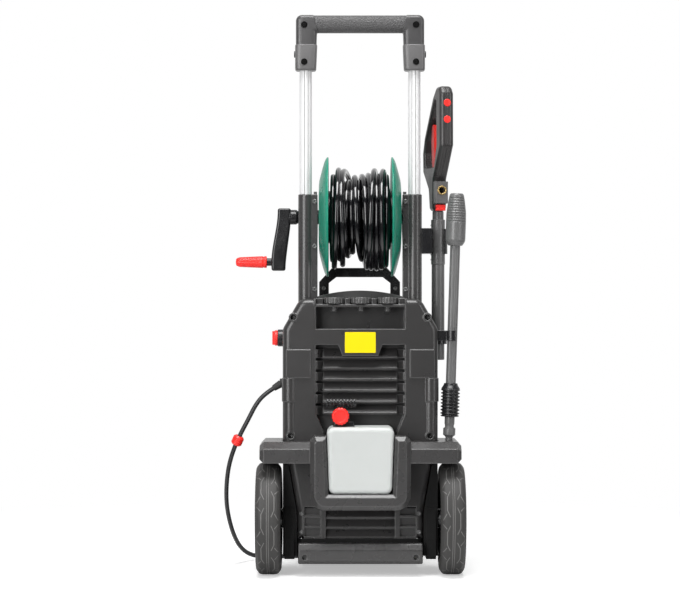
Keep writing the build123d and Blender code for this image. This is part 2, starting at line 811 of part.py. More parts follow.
# ---------------------------------------------------------------- tank and cradle
cradle_rear_y = REAR_Y - CRADLE_PROUD
fender_rear_y = cradle_rear_y + FENDER_SETBACK
fender_inner_x = BODY_HALF + 0.5
tank_opening = [
    (-TANK_TOP_HALF - 1, CRADLE_TOP + 1),
    (-TANK_BOTTOM_HALF - 1, TANK_BOTTOM - GAP),
    (TANK_BOTTOM_HALF + 1, TANK_BOTTOM - GAP),
    (TANK_TOP_HALF + 1, CRADLE_TOP + 1),
]

with BuildPart() as tank_cradle:
    prism(
        facing_rear(REAR_Y),
        [
            (-CRADLE_HALF + CRADLE_BEVEL, CRADLE_TOP),
            (-CRADLE_HALF, CRADLE_TOP - CRADLE_BEVEL),
            (-CRADLE_HALF, CRADLE_BOTTOM),
            (CRADLE_HALF, CRADLE_BOTTOM),
            (CRADLE_HALF, CRADLE_TOP - CRADLE_BEVEL),
            (CRADLE_HALF - CRADLE_BEVEL, CRADLE_TOP),
        ],
        CRADLE_PROUD,
        radius=CRADLE_ROUND,
        rounded=lambda corner: corner.Y < CRADLE_BOTTOM + 1,
    )
    for side in SIDES:
        prism(
            facing_side(side * (CRADLE_HALF - 2)),
            [
                (REAR_Y, FENDER_BOTTOM),
                (REAR_Y, FENDER_TOP),
                (fender_rear_y + FENDER_SLOPE[0], FENDER_TOP),
                (fender_rear_y, FENDER_TOP - FENDER_SLOPE[1]),
                (fender_rear_y, FENDER_BOTTOM),
            ],
            side * (FENDER_OUTER_X - CRADLE_HALF + 2),
        )
        block(
            (side * fender_inner_x, side * FENDER_OUTER_X),
            (REAR_Y - 1, FENDER_FRONT_Y),
            (FENDER_BOTTOM, FENDER_TOP),
        )
    outer_faces = tank_cradle.faces().filter_by(Axis.X).sort_by(Axis.X)
    chamfer(outer_faces[0].edges() + outer_faces[-1].edges(), 7)
    chamfer(tank_cradle.faces().sort_by(Axis.Y)[0].edges(), CRADLE_BEVEL)
    prism(facing_rear(REAR_Y + 1), tank_opening, CRADLE_PROUD + 2, mode=Mode.SUBTRACT)
    extrude(
        outline(facing_rear(cradle_rear_y + CRADLE_INNER_BEVEL), tank_opening),
        amount=CRADLE_INNER_BEVEL + 0.5,
        taper=-45,
        mode=Mode.SUBTRACT,
    )
    rod_z(LANCE_X, LANCE_Y, (LANCE_FOOT_Z - 0.5, FENDER_TOP + 1), LANCE_TUBE_RADIUS - 1, mode=Mode.SUBTRACT)
save(tank_cradle.part, "tank_cradle")


def tank_outline(inset, top):
    """Corners of the tank seen from the rear, slightly narrower at its foot."""
    return [
        (-TANK_BOTTOM_HALF + inset, TANK_BOTTOM + inset),
        (TANK_BOTTOM_HALF - inset, TANK_BOTTOM + inset),
        (TANK_TOP_HALF - inset, top - inset),
        (-TANK_TOP_HALF + inset, top - inset),
    ]


tank_rear_y = cradle_rear_y + 4
valve_y = tank_rear_y + 22
tank_filler_x = CAP_X + 6
tail_x = CAP_X - 25.5
with BuildPart() as tank_hollow:
    prism(
        facing_rear(tank_rear_y + TANK_WALL),
        tank_outline(TANK_WALL, TANK_TOP),
        -(TANK_DEPTH - 2 * TANK_WALL),
        radius=TANK_ROUND - TANK_WALL,
    )
    fillet(tank_hollow.faces().sort_by(Axis.Y)[0].edges(), TANK_EDGE - TANK_WALL)

with BuildPart() as detergent_tank:
    prism(facing_rear(tank_rear_y), tank_outline(0, TANK_TOP), -TANK_DEPTH, radius=TANK_ROUND)
    fillet(detergent_tank.faces().sort_by(Axis.Y)[0].edges(), TANK_EDGE)
    add(tank_hollow.part, mode=Mode.SUBTRACT)
    rod_z(tank_filler_x, valve_y + 11, (TANK_TOP - 8, TANK_TOP + 1), TANK_FILLER_RADIUS, mode=Mode.SUBTRACT)
save(detergent_tank.part, "detergent_tank")

with BuildPart() as detergent_valve:
    block(
        (CAP_X - VALVE_LEFT, CAP_X + VALVE_RIGHT),
        (valve_y, valve_y + VALVE_DEPTH),
        (TANK_TOP, TANK_TOP + 9),
    )
    fillet(detergent_valve.edges().filter_by(Axis.Z), 4)
    rod_y(CAP_X, (valve_y, valve_y + VALVE_DEPTH), CAP_Z, CAP_RADIUS - 3)
    rod_y(CAP_X, (valve_y - 10, valve_y + 1), CAP_Z, 5)
    block(
        (CAP_X - 6, CAP_X + 6),
        (valve_y + VALVE_DEPTH / 2, valve_y + VALVE_DEPTH),
        (CAP_Z, CAP_Z + TAIL_RISE),
    )
    rod_x((tail_x, tail_x + TAIL_RIBS * TAIL_PITCH), valve_y + 18, CAP_Z + TAIL_RISE, 5.5)
    for index in range(TAIL_RIBS):
        rib_x = tail_x + TAIL_PITCH * index + 1
        rod_x((rib_x, rib_x + TAIL_PITCH / 2), valve_y + 18, CAP_Z + TAIL_RISE, 8.5)
save(detergent_valve.part, "detergent_valve")

with BuildPart() as tank_cap:
    rod_y(CAP_X, (valve_y - GAP - CAP_THICKNESS, valve_y - GAP), CAP_Z, CAP_RADIUS)
    fillet(tank_cap.faces().sort_by(Axis.Y)[0].edges(), 3)
    rod_y(CAP_X, (valve_y - 10 - GAP, valve_y), CAP_Z, 5 + RUN, mode=Mode.SUBTRACT)
    for index in range(16):
        angle = 2 * pi * index / 16
        rod_y(
            CAP_X + (CAP_RADIUS + 0.4) * cos(angle),
            (valve_y - 11, valve_y),
            CAP_Z + (CAP_RADIUS + 0.4) * sin(angle),
            1.2,
            mode=Mode.SUBTRACT,
        )
save(tank_cap.part, "tank_cap")

# ---------------------------------------------------------------- columns
for side in SIDES:
    with BuildPart() as column:
        with BuildSketch(Plane.XY.offset(COLUMN_BOTTOM)):
            with Locations((side * COLUMN_X, COLUMN_Y)):
                Circle(COLUMN_RADIUS)
            with Locations((side * (COLUMN_INNER_X + COLUMN_X) / 2, COLUMN_Y)):
                Rectangle(COLUMN_X - COLUMN_INNER_X, 2 * WEB_HALF)
        extrude(amount=COLUMN_TOP - COLUMN_BOTTOM)
        prism(
            facing_side(side * COLUMN_INNER_X),
            [
                (COLUMN_Y + WEB_HALF - 1, REEL_Z - 50),
                (REEL_Y + BUSH_RADIUS + 4, REEL_Z - 22),
                (REEL_Y + BUSH_RADIUS + 7, REEL_Z),
                (REEL_Y + BUSH_RADIUS + 4, REEL_Z + 22),
                (COLUMN_Y + WEB_HALF - 1, REEL_Z + 36),
            ],
            side * EAR_THICKNESS,
        )
        rod_x(
            (side * (COLUMN_INNER_X - 1), side * (COLUMN_INNER_X + EAR_THICKNESS + 1)),
            REEL_Y,
            REEL_Z,
            BUSH_RADIUS,
            mode=Mode.SUBTRACT,
        )
        rod_z(
            side * COLUMN_X,
            COLUMN_Y,
            (COLUMN_BOTTOM + 4, COLUMN_TOP + 1),
            TUBE_RADIUS + FIT,
            mode=Mode.SUBTRACT,
        )
        fillet(column.faces().sort_by(Axis.Z)[-1].outer_wire().edges(), 1.5)
        block(
            (side * (COLUMN_INNER_X + 1), side * (COLUMN_INNER_X + 7)),
            (COLUMN_Y - 5, COLUMN_Y + 5),
            (COLUMN_TOP - 2, COLUMN_TOP + 5),
        )
    save(column.part, f"column_{hand(side)}")

column_face_y = COLUMN_Y - WEB_HALF
column_screw_zs = [COLUMN_TOP - drop for drop in COLUMN_SCREW_DROPS]
ankle_screw_zs = (ANKLE_Z - 1, ANKLE_Z - 1 - ANKLE_SCREW_PITCH)
cross_foot_screw_z = BODY_TOP + 19
with BuildPart() as body_screws:
    for side in SIDES:
        for z in column_screw_zs:
            screw_rear(side * (COLUMN_INNER_X + 5), column_face_y, z)
        for x, z in zip(screw_xs, screw_zs):
            screw_rear(side * x, REAR_Y + PIT_DEPTH, z, height=4)
        for z in ankle_screw_zs:
            screw_rear(side * (ANKLE_HALF - 8), REAR_Y, z, radius=4)
        screw_rear(side * CROSS_FOOT_X, CROSS_BAR_Y - CROSS_BAR_DEPTH / 2, cross_foot_screw_z, radius=4)
save(body_screws.part, "body_screws")

# ---------------------------------------------------------------- telescopic handle
tube_bottom = COLUMN_TOP - TUBE_OVERLAP
tube_top = GRIP_TOP - GRIP_BAR - 12
with BuildPart() as handle_tubes:
    for side in SIDES:
        rod_z(side * COLUMN_X, COLUMN_Y, (tube_bottom, tube_top), TUBE_RADIUS)
        rod_z(
            side * COLUMN_X,
            COLUMN_Y,
            (tube_bottom - 1, tube_top + 1),
            TUBE_RADIUS - TUBE_WALL,
            mode=Mode.SUBTRACT,
        )
save(handle_tubes.part, "handle_tubes")

grip_outline = [
    (-GRIP_HALF, GRIP_BOTTOM),
    (-GRIP_INNER_HALF - 2, GRIP_BOTTOM),
    (-GRIP_INNER_HALF, GRIP_TOP - GRIP_BAR - GRIP_CORNER_CUT),
    (-GRIP_INNER_HALF + GRIP_CORNER_CUT, GRIP_TOP - GRIP_BAR),
    (GRIP_INNER_HALF - GRIP_CORNER_CUT, GRIP_TOP - GRIP_BAR),
    (GRIP_INNER_HALF, GRIP_TOP - GRIP_BAR - GRIP_CORNER_CUT),
    (GRIP_INNER_HALF + 2, GRIP_BOTTOM),
    (GRIP_HALF, GRIP_BOTTOM),
    (GRIP_HALF, GRIP_TOP),
    (-GRIP_HALF, GRIP_TOP),
]
grip_screw_x = COLUMN_X + 2.5
grip_screw_zs = (GRIP_TOP - 19, GRIP_BOTTOM + 15)
grip_pit_y = COLUMN_Y - GRIP_HALF_DEPTH + 5
for face_side, grip_name in ((-1, "grip_rear"), (1, "grip_front")):
    with BuildPart() as grip_shell:
        prism(
            facing_rear(COLUMN_Y),
            grip_outline,
            -face_side * GRIP_HALF_DEPTH,
            radius=9,
            rounded=lambda corner: corner.Y > GRIP_TOP - 1,
        )
        outer_face = grip_shell.faces().sort_by(Axis.Y)[0 if face_side < 0 else -1]
        fillet(outer_face.edges(), GRIP_ROUND)
        for side in SIDES:
            block(
                (side * (GRIP_INNER_HALF - 3), side * (GRIP_HALF + 1)),
                (COLUMN_Y + face_side * (GRIP_HALF_DEPTH - GRIP_GROOVE[1]), COLUMN_Y + face_side * 2 * GRIP_HALF_DEPTH),
                (GRIP_GROOVE_Z - GRIP_GROOVE[0], GRIP_GROOVE_Z),
                mode=Mode.SUBTRACT,
            )
            rod_z(
                side * COLUMN_X,
                COLUMN_Y,
                (GRIP_BOTTOM - 1, tube_top),
                TUBE_RADIUS,
                mode=Mode.SUBTRACT,
            )
            rod_x(
                (side * (GRIP_HALF - 6 - GAP), side * (GRIP_HALF + 1)),
                COLUMN_Y,
                BUTTON_Z,
                BUTTON_RADIUS + GAP,
                mode=Mode.SUBTRACT,
            )
            if face_side < 0:
                for z in grip_screw_zs:
                    rod_y(
                        side * grip_screw_x,
                        (COLUMN_Y - GRIP_HALF_DEPTH - 1, grip_pit_y),
                        z,
                        SCREW_HEAD + 1,
                        mode=Mode.SUBTRACT,
                    )
    save(grip_shell.part, grip_name)

with BuildPart() as grip_screws:
    for side in SIDES:
        for z in grip_screw_zs:
            screw_rear(side * grip_screw_x, grip_pit_y, z, height=3)
save(grip_screws.part, "grip_screws")

for side in SIDES:
    with BuildPart() as release_button:
        rod_x(
            (side * (GRIP_HALF - 6 - GAP + BUTTON_TRAVEL + GAP), side * (GRIP_HALF + BUTTON_PROUD)),
            COLUMN_Y,
            BUTTON_Z,
            BUTTON_RADIUS,
        )
        fillet(release_button.faces().sort_by(Axis.X)[0 if side < 0 else -1].edges(), 1.2)
    save(release_button.part, f"release_button_{hand(side)}")

# ---------------------------------------------------------------- hose reel
reel_axis = (0, REEL_Y, REEL_Z)
flange_hub_inner_x = FLANGE_HUB_X - FLANGE_SHEET
crank_boss_x = -(COLUMN_X + COLUMN_RADIUS + GAP)
arm_near_x = CRANK_TOP_X + CRANK_THICK / 2
arm_far_x = CRANK_TOP_X - CRANK_THICK / 2
shaft_right_x = BUSH_END_X + 2

with BuildPart() as reel_drum:
    rod_x((-flange_hub_inner_x, flange_hub_inner_x), REEL_Y, REEL_Z, DRUM_RADIUS)
    rod_x(
        (-flange_hub_inner_x + WALL, flange_hub_inner_x - WALL),
        REEL_Y,
        REEL_Z,
        DRUM_RADIUS - WALL,
        mode=Mode.SUBTRACT,
    )
    rod_x((-flange_hub_inner_x, flange_hub_inner_x), REEL_Y, REEL_Z, SHAFT_RADIUS + WALL)
    rod_x((-FLANGE_HUB_X, FLANGE_HUB_X), REEL_Y, REEL_Z, SHAFT_RADIUS, mode=Mode.SUBTRACT)
save(reel_drum.part, "reel_drum")

for side in SIDES:
    with BuildPart() as reel_flange:
        turned(
            [
                (side * flange_hub_inner_x, SHAFT_RADIUS),
                (side * flange_hub_inner_x, DRUM_RADIUS),
                (side * FLANGE_RIM_X, FLANGE_RADIUS - 2),
                (side * FLANGE_RIM_X, FLANGE_RADIUS),
                (side * (FLANGE_RIM_X + FLANGE_SHEET), FLANGE_RADIUS),
                (side * FLANGE_HUB_X, DRUM_RADIUS + 2),
                (side * FLANGE_HUB_X, SHAFT_RADIUS),
            ],
            reel_axis,
            (1, 0, 0),
        )
    save(reel_flange.part, f"reel_flange_{hand(side)}")

with BuildPart() as reel_bearings:
    for side in SIDES:
        rod_x((side * (FLANGE_HUB_X + GAP), side * BUSH_END_X), REEL_Y, REEL_Z, BUSH_RADIUS)
        rod_x(
            (side * (FLANGE_HUB_X - 1), side * (BUSH_END_X + 1)),
            REEL_Y,
            REEL_Z,
            SHAFT_RADIUS + RUN,
            mode=Mode.SUBTRACT,
        )
save(reel_bearings.part, "reel_bearings")

crank_pin_z = REEL_Z - CRANK_RADIUS
pin_root_x = CRANK_LOW_X - CRANK_THICK / 2 - 1
knob_start_x = pin_root_x - 9
pin_end_x = GRIP_KNOB_END + 8

with BuildPart() as crank_arm:
    with BuildSketch(facing_rear(REEL_Y - CRANK_DEPTH / 2)):
        with BuildLine():
            arm_outer = Spline(
                (arm_far_x, REEL_Z + 16),
                (arm_far_x - 3, REEL_Z - 20),
                (pin_root_x + 2, REEL_Z - 54),
                (pin_root_x, crank_pin_z - 16),
            )
            arm_inner = Spline(
                (CRANK_LOW_X + CRANK_THICK / 2, crank_pin_z - 16),
                (CRANK_LOW_X + CRANK_THICK / 2 + 3, crank_pin_z + 20),
                (arm_near_x - 2, REEL_Z - 24),
                (arm_near_x, REEL_Z + 16),
            )
            Line(arm_outer @ 1, arm_inner @ 0)
            Line(arm_inner @ 1, arm_outer @ 0)
        make_face()
    extrude(amount=-CRANK_DEPTH)
    fillet(crank_arm.edges(), 4)
    turned(
        [
            (arm_near_x - 3, 0),
            (arm_near_x - 3, 10),
            (arm_near_x, 13.5),
            (crank_boss_x - 4, 13.5),
            (crank_boss_x, 11),
            (crank_boss_x, 0),
        ],
        reel_axis,
        (1, 0, 0),
    )
    rod_x((pin_root_x + 4, knob_start_x + GAP), REEL_Y, crank_pin_z, CRANK_PIN_RADIUS + 2)
    rod_x((pin_root_x, pin_end_x), REEL_Y, crank_pin_z, CRANK_PIN_RADIUS)
    rod_x((CRANK_TOP_X, shaft_right_x), REEL_Y, REEL_Z, SHAFT_RADIUS)
save(crank_arm.part, "crank_arm")

with BuildPart() as crank_grip:
    turned(
        [
            (knob_start_x, CRANK_PIN_RADIUS + RUN),
            (knob_start_x, GRIP_KNOB_RADIUS),
            (GRIP_KNOB_END + 6, GRIP_KNOB_RADIUS - 1.9),
            (GRIP_KNOB_END + 1.5, GRIP_KNOB_RADIUS - 3.6),
            (GRIP_KNOB_END, GRIP_KNOB_RADIUS - 6),
            (GRIP_KNOB_END, 0),
            (pin_end_x - GAP, 0),
            (pin_end_x - GAP, CRANK_PIN_RADIUS + RUN),
        ],
        (0, REEL_Y, crank_pin_z),
        (1, 0, 0),
    )
save(crank_grip.part, "crank_grip")

with BuildPart() as hose_winding:
    winding_half = FLANGE_RIM_X - 2
    turned(
        [
            (-winding_half, DRUM_RADIUS),
            (winding_half, DRUM_RADIUS),
            (winding_half, WINDING_RADIUS - 6),
            (winding_half - 6, WINDING_RADIUS),
            (-winding_half + 6, WINDING_RADIUS),
            (-winding_half, WINDING_RADIUS - 6),
        ],
        reel_axis,
        (1, 0, 0),
    )
save(hose_winding.part, "hose_winding")

cross_rear_y = CROSS_BAR_Y - CROSS_BAR_DEPTH / 2
with BuildPart() as cross_bar:
    prism(
        facing_rear(cross_rear_y),
        [
            (-CROSS_BAR_HALF, CROSS_BAR_TOP),
            (CROSS_BAR_HALF, CROSS_BAR_TOP),
            (CROSS_FOOT_X + 9, CROSS_BAR_TOP - 26),
            (CROSS_FOOT_X + 9, BODY_TOP - 5),
            (CROSS_FOOT_X - 9, BODY_TOP - 5),
            (CROSS_FOOT_X - 9, CROSS_BAR_TOP - 28),
            (CROSS_BAR_HALF - 8, CROSS_BAR_TOP - CROSS_BAR_SECTION),
            (-CROSS_BAR_HALF + 8, CROSS_BAR_TOP - CROSS_BAR_SECTION),
            (-CROSS_FOOT_X + 9, CROSS_BAR_TOP - 28),
            (-CROSS_FOOT_X + 9, BODY_TOP - 5),
            (-CROSS_FOOT_X - 9, BODY_TOP - 5),
            (-CROSS_FOOT_X - 9, CROSS_BAR_TOP - 26),
        ],
        -CROSS_BAR_DEPTH,
    )
    fillet(cross_bar.edges().filter_by(Axis.Y), 2)
    extrude(front_outline(), amount=-(FRONT_Y - SPLIT_Y), mode=Mode.SUBTRACT)
save(cross_bar.part, "cross_bar")

# ---------------------------------------------------------------- motor and pump
bracket_z = (MOTOR_BOTTOM + MOTOR_TOP) / 2 - 5
with BuildPart() as motor_housing:
    rod_z(0, MOTOR_Y, (MOTOR_BOTTOM, MOTOR_TOP), MOTOR_RADIUS)
    rod_z(
        0,
        MOTOR_Y,
        (MOTOR_BOTTOM + MOTOR_SHELL, MOTOR_TOP - MOTOR_SHELL),
        MOTOR_RADIUS - MOTOR_SHELL,
        mode=Mode.SUBTRACT,
    )
    rod_z(0, MOTOR_Y, (MOTOR_BOTTOM - 1, MOTOR_TOP + 1), SHAFT_RADIUS + RUN, mode=Mode.SUBTRACT)
    block(
        (-MOTOR_RADIUS + 12, MOTOR_RADIUS - 12),
        (MOTOR_Y + MOTOR_RADIUS - 8, FRONT_Y - FRONT_WALL),
        (bracket_z - 10, bracket_z + 10),
    )
    rod_z(
        0,
        MOTOR_Y,
        (MOTOR_BOTTOM + MOTOR_SHELL, MOTOR_TOP - MOTOR_SHELL),
        MOTOR_RADIUS - MOTOR_SHELL,
        mode=Mode.SUBTRACT,
    )
save(motor_housing.part, "motor_housing")

with BuildPart() as rotor_shaft:
    rod_z(0, MOTOR_Y, (SWASH_Z - 12, MOTOR_TOP + 16), SHAFT_RADIUS)
    rod_z(0, MOTOR_Y, (MOTOR_BOTTOM + 25, MOTOR_TOP - 40), ROTOR_RADIUS)
    swash_normal = (sin(radians(SWASH_TILT)), 0, cos(radians(SWASH_TILT)))
    with BuildSketch(Plane(origin=(0, MOTOR_Y, SWASH_Z), z_dir=swash_normal)):
        Circle(SWASH_RADIUS)
    extrude(amount=SWASH_HALF_THICK, both=True)
save(rotor_shaft.part, "rotor_shaft")

with BuildPart() as cooling_fan:
    rod_z(0, MOTOR_Y, (MOTOR_TOP + 1, MOTOR_TOP + 14), SHAFT_RADIUS + 6)
    rod_z(0, MOTOR_Y, (MOTOR_TOP + 1, MOTOR_TOP + 3), FAN_RADIUS)
    for index in range(9):
        angle = 360 * index / 9
        with Locations(Location((0, MOTOR_Y, MOTOR_TOP + 7.5), (0, 0, angle))):
            with Locations((FAN_RADIUS / 2 + 5, 0, 0)):
                Box(FAN_RADIUS - 14, 2, 11)
    rod_z(0, MOTOR_Y, (MOTOR_TOP, MOTOR_TOP + 15), SHAFT_RADIUS, mode=Mode.SUBTRACT)
save(cooling_fan.part, "cooling_fan")

swash_drop = SWASH_HALF_THICK / cos(radians(SWASH_TILT)) + SWASH_RADIUS * tan(radians(SWASH_TILT))
piston_top = SWASH_Z - swash_drop - GAP
piston_places = [
    (
        PISTON_PITCH_RADIUS * cos(2 * pi * index / PISTON_COUNT),
        MOTOR_Y + PISTON_PITCH_RADIUS * sin(2 * pi * index / PISTON_COUNT),
    )
    for index in range(PISTON_COUNT)
]
pump_bottom = BASE_BOTTOM + WALL + 1

with BuildPart() as pump_body:
    rod_z(0, MOTOR_Y, (70, PUMP_TOP), PUMP_RADIUS)
    block((-38, 38), (MOTOR_Y - 38, MOTOR_Y + 38), (pump_bottom, 72))
    block((INLET_X - 16, INLET_X + 16), (MOTOR_Y, FRONT_Y - 44), (INLET_Z - 16, INLET_Z + 16))
    rod_x((PUMP_RADIUS - 12, PUMP_RADIUS + 6), MOTOR_Y, INLET_Z, 10)
    rod_z(0, MOTOR_Y, (PUMP_TOP, MOTOR_BOTTOM), SHAFT_RADIUS + 14)
    rod_z(0, MOTOR_Y, (PUMP_CHAMBER_BOTTOM, PUMP_TOP - 6), SWASH_RADIUS + 6, mode=Mode.SUBTRACT)
    rod_z(0, MOTOR_Y, (PUMP_TOP - 10, MOTOR_BOTTOM + 1), SHAFT_RADIUS + RUN, mode=Mode.SUBTRACT)
    for x, y in piston_places:
        rod_z(x, y, (88, PUMP_CHAMBER_BOTTOM + 1), PISTON_RADIUS + RUN, mode=Mode.SUBTRACT)
save(pump_body.part, "pump_body")

with BuildPart() as pistons:
    for x, y in piston_places:
        rod_z(x, y, (88, piston_top), PISTON_RADIUS)
save(pistons.part, "pistons")

inlet_start_y = FRONT_Y - 44
with BuildPart() as water_inlet:
    rod_y(INLET_X, (inlet_start_y, FRONT_Y + 2), INLET_Z, INLET_RADIUS - 2)
    rod_y(INLET_X, (FRONT_Y - 18, FRONT_Y + 2), INLET_Z, INLET_RADIUS + 2)
    rod_y(INLET_X, (FRONT_Y + 2, FRONT_Y + 2 + INLET_LENGTH), INLET_Z, INLET_RADIUS)
    rod_y(INLET_X, (FRONT_Y - 30, FRONT_Y + 3 + INLET_LENGTH), INLET_Z, INLET_RADIUS - 4, mode=Mode.SUBTRACT)
save(water_inlet.part, "water_inlet")

swivel_bottom = REEL_Z - 11
with BuildPart() as high_pressure_pipe:
    with BuildLine() as pipe_route:
        FilletPolyline(
            (PUMP_RADIUS + 6, MOTOR_Y, INLET_Z),
            (PIPE_X, MOTOR_Y, INLET_Z),
            (PIPE_X, MOTOR_Y, WAIST_Z),
            (PIPE_X, REEL_Y, WAIST_Z + 70),
            (PIPE_X, REEL_Y, swivel_bottom),
            radius=PIPE_BEND,
        )
    with BuildSketch(Plane(origin=pipe_route.line @ 0, z_dir=pipe_route.line % 0)):
        Circle(PIPE_RADIUS)
    sweep()
    rod_x((shaft_right_x + GAP, PIPE_X + 8), REEL_Y, REEL_Z, 11)
    rod_z(PIPE_X, REEL_Y, (swivel_bottom - 14, swivel_bottom + 4), 6.5)
save(high_pressure_pipe.part, "high_pressure_pipe")

# ---------------------------------------------------------------- switch
with BuildPart() as switch_base:
    rod_x((-BODY_HALF, -BODY_HALF - SWITCH_DISC), SWITCH_Y, SWITCH_Z, SWITCH_RADIUS)
    fillet(switch_base.faces().sort_by(Axis.X)[0].edges(), 1.5)
    rod_x((-BODY_HALF + 22, -BODY_HALF), SWITCH_Y, SWITCH_Z, SWITCH_RADIUS - 3 - FIT)
    rod_x(
        (-BODY_HALF - SWITCH_DISC - 1, -BODY_HALF + 4),
        SWITCH_Y,
        SWITCH_Z,
        4 + RUN,
        mode=Mode.SUBTRACT,
    )
save(switch_base.part, "switch_base")

knob_near_x = -BODY_HALF - SWITCH_DISC - GAP
knob_far_x = knob_near_x - KNOB_THICKNESS
with BuildPart() as switch_knob:
    rod_x((knob_near_x, knob_far_x + 5), SWITCH_Y, SWITCH_Z, KNOB_RADIUS)
    block(
        (knob_near_x - 1, knob_far_x),
        (SWITCH_Y - 4, SWITCH_Y + 4),
        (SWITCH_Z - KNOB_RADIUS + 1.5, SWITCH_Z + KNOB_RADIUS - 1.5),
    )
    fillet(switch_knob.faces().sort_by(Axis.X)[0].edges(), 1.5)
    rod_x((knob_near_x - 1, -BODY_HALF + 3), SWITCH_Y, SWITCH_Z, 4)
save(switch_knob.part, "switch_knob")

# ---------------------------------------------------------------- mains cord
gland_root = (-BODY_HALF - 2, GLAND_Y, GLAND_Z)
gland_axis = (-cos(radians(GLAND_DROP)), 0, -sin(radians(GLAND_DROP)))
gland_end = Vector(*gland_root) + Vector(*gland_axis) * GLAND_LENGTH
with BuildPart() as cord_gland:
    rod_x((-BODY_HALF + 10, -BODY_HALF), GLAND_Y, GLAND_Z, GLAND_RADIUS - 2 - FIT)
    rod_x((-BODY_HALF, -BODY_HALF - 6), GLAND_Y, GLAND_Z, GLAND_RADIUS)
    turned(
        [
            (2, 0),
            (2, GLAND_RADIUS - 1),
            (GLAND_LENGTH, CORD_RADIUS + 1.5),
            (GLAND_LENGTH, 0),
        ],
        gland_root,
        gland_axis,
    )
save(cord_gland.part, "cord_gland")

cord_hang = [
    (35, -165, 322),
    (50, -165, 303),
    (62, -164, 279),
    (76, -162, 253),
    (89, -158, 225),
    (99, -150, 193),
    (104, -136, 157),
    (105, -114, 120),
    (101, -84, 86),
    (94, -48, 54),
    (83, -10, 27),
    (65, 23, 10),
    (39, 46, 4.8),
    (7, 58, 4.5),
]
CORD_ROUTE = [tuple(gland_end)] + [(-BODY_HALF - out, y, z) for out, y, z in cord_hang]
CORD_ROUTE += [(COIL_X - 65, COIL_Y - 57, 4.5), (COIL_X - 25, COIL_Y - 57, 6)]


def tangent_radii(route):
    """Bend radius at each inner point: the largest its two runs allow, with a tenth of them left straight."""
    radii = []
    for before, here, after in zip(route, route[1:], route[2:]):
        run_in = Vector(*here) - Vector(*before)
        run_out = Vector(*after) - Vector(*here)
        turn = radians(run_in.get_angle(run_out))
        radii.append(0.45 * min(run_in.length, run_out.length) / tan(turn / 2))
    return radii


cord_radii = tangent_radii(CORD_ROUTE)
with BuildPart() as power_cord:
    with BuildLine() as cord_line:
        FilletPolyline(*CORD_ROUTE, radius=cord_radii)
    with BuildSketch(Plane(origin=cord_line.line @ 0, z_dir=cord_line.line % 0)):
        Circle(CORD_RADIUS)
    sweep()
save(power_cord.part, "power_cord")
print("cord radii", [round(radius) for radius in cord_radii])
cord_length = sum(edge.length for edge in cord_line.line.edges())
volume_ratio = power_cord.part.volume / (pi * CORD_RADIUS**2 * cord_length)
print("cord length", round(cord_length), "volume over section times length", round(volume_ratio, 4))

with BuildPart() as cord_coil:
    with BuildSketch(Plane.XZ.offset(-COIL_Y)):
        with Locations((COIL_X + COIL_RADIUS, COIL_SECTION)):
            RectangleRounded(2 * COIL_SECTION, 2 * COIL_SECTION - 2, COIL_SECTION - 3)
    revolve(axis=Axis((COIL_X, COIL_Y, 0), (0, 0, 1)))
save(cord_coil.part, "cord_coil")

plug_x = COIL_X + 47
plug_y = COIL_Y - 58
with BuildPart() as mains_plug:
    rod_x((plug_x - PLUG_TAIL, plug_x + 1), plug_y, PLUG_RADIUS, CORD_RADIUS)
    turned(
        [
            (plug_x, 0),
            (plug_x, CORD_RADIUS + 2),
            (plug_x + 14, CORD_RADIUS + 4),
            (plug_x + 20, PLUG_RADIUS - 4),
            (plug_x + PLUG_LENGTH - 4, PLUG_RADIUS),
            (plug_x + PLUG_LENGTH, PLUG_RADIUS - 1),
            (plug_x + PLUG_LENGTH, 0),
        ],
        (0, plug_y, PLUG_RADIUS),
        (1, 0, 0),
    )
    for side in SIDES:
        rod_x(
            (plug_x + PLUG_LENGTH - 1, plug_x + PLUG_LENGTH + PLUG_PIN_LENGTH),
            plug_y + side * PLUG_PIN_SPREAD,
            PLUG_RADIUS,
            2.4,
        )
save(mains_plug.part, "mains_plug")

clip_centre = (Vector(*CORD_ROUTE[4]) + Vector(*CORD_ROUTE[5])) / 2
clip_axis = (Vector(*CORD_ROUTE[5]) - Vector(*CORD_ROUTE[4])).normalized()
with BuildPart() as cord_clip:
    turned(
        [
            (-9, CORD_RADIUS + CLIP_PLAY),
            (-9, CORD_RADIUS + 3),
            (-6, CORD_RADIUS + 6),
            (6, CORD_RADIUS + 6),
            (9, CORD_RADIUS + 3),
            (9, CORD_RADIUS + CLIP_PLAY),
        ],
        tuple(clip_centre),
        tuple(clip_axis),
    )
save(cord_clip.part, "cord_clip")

# ---------------------------------------------------------------- gun
gun_forward = Vector(-sin(radians(GUN_TURN)), cos(radians(GUN_TURN)), 0)
gun_right = Vector(cos(radians(GUN_TURN)), sin(radians(GUN_TURN)), 0)


def gun_plane(offset):
    """Plane of the gun's side view: x runs forward from the barrel, y is up, z is towards the gun's right."""
    return Plane(origin=Vector(GUN_X, GUN_Y, 0) + gun_right * offset, x_dir=gun_forward, z_dir=gun_right)


def gun_point(forward, height, across=0):
    """Place in the machine's frame of a point given in the gun's side view."""
    return Vector(GUN_X, GUN_Y, height) + gun_forward * forward + gun_right * across


def gun_block(forward, across, heights, mode=Mode.ADD):
    """Box in the gun's own directions."""
    prism(
        gun_plane(across[0]),
        [
            (forward[0], heights[0]),
            (forward[1], heights[0]),
            (forward[1], heights[1]),
            (forward[0], heights[1]),
        ],
        across[1] - across[0],
        mode=mode,
    )


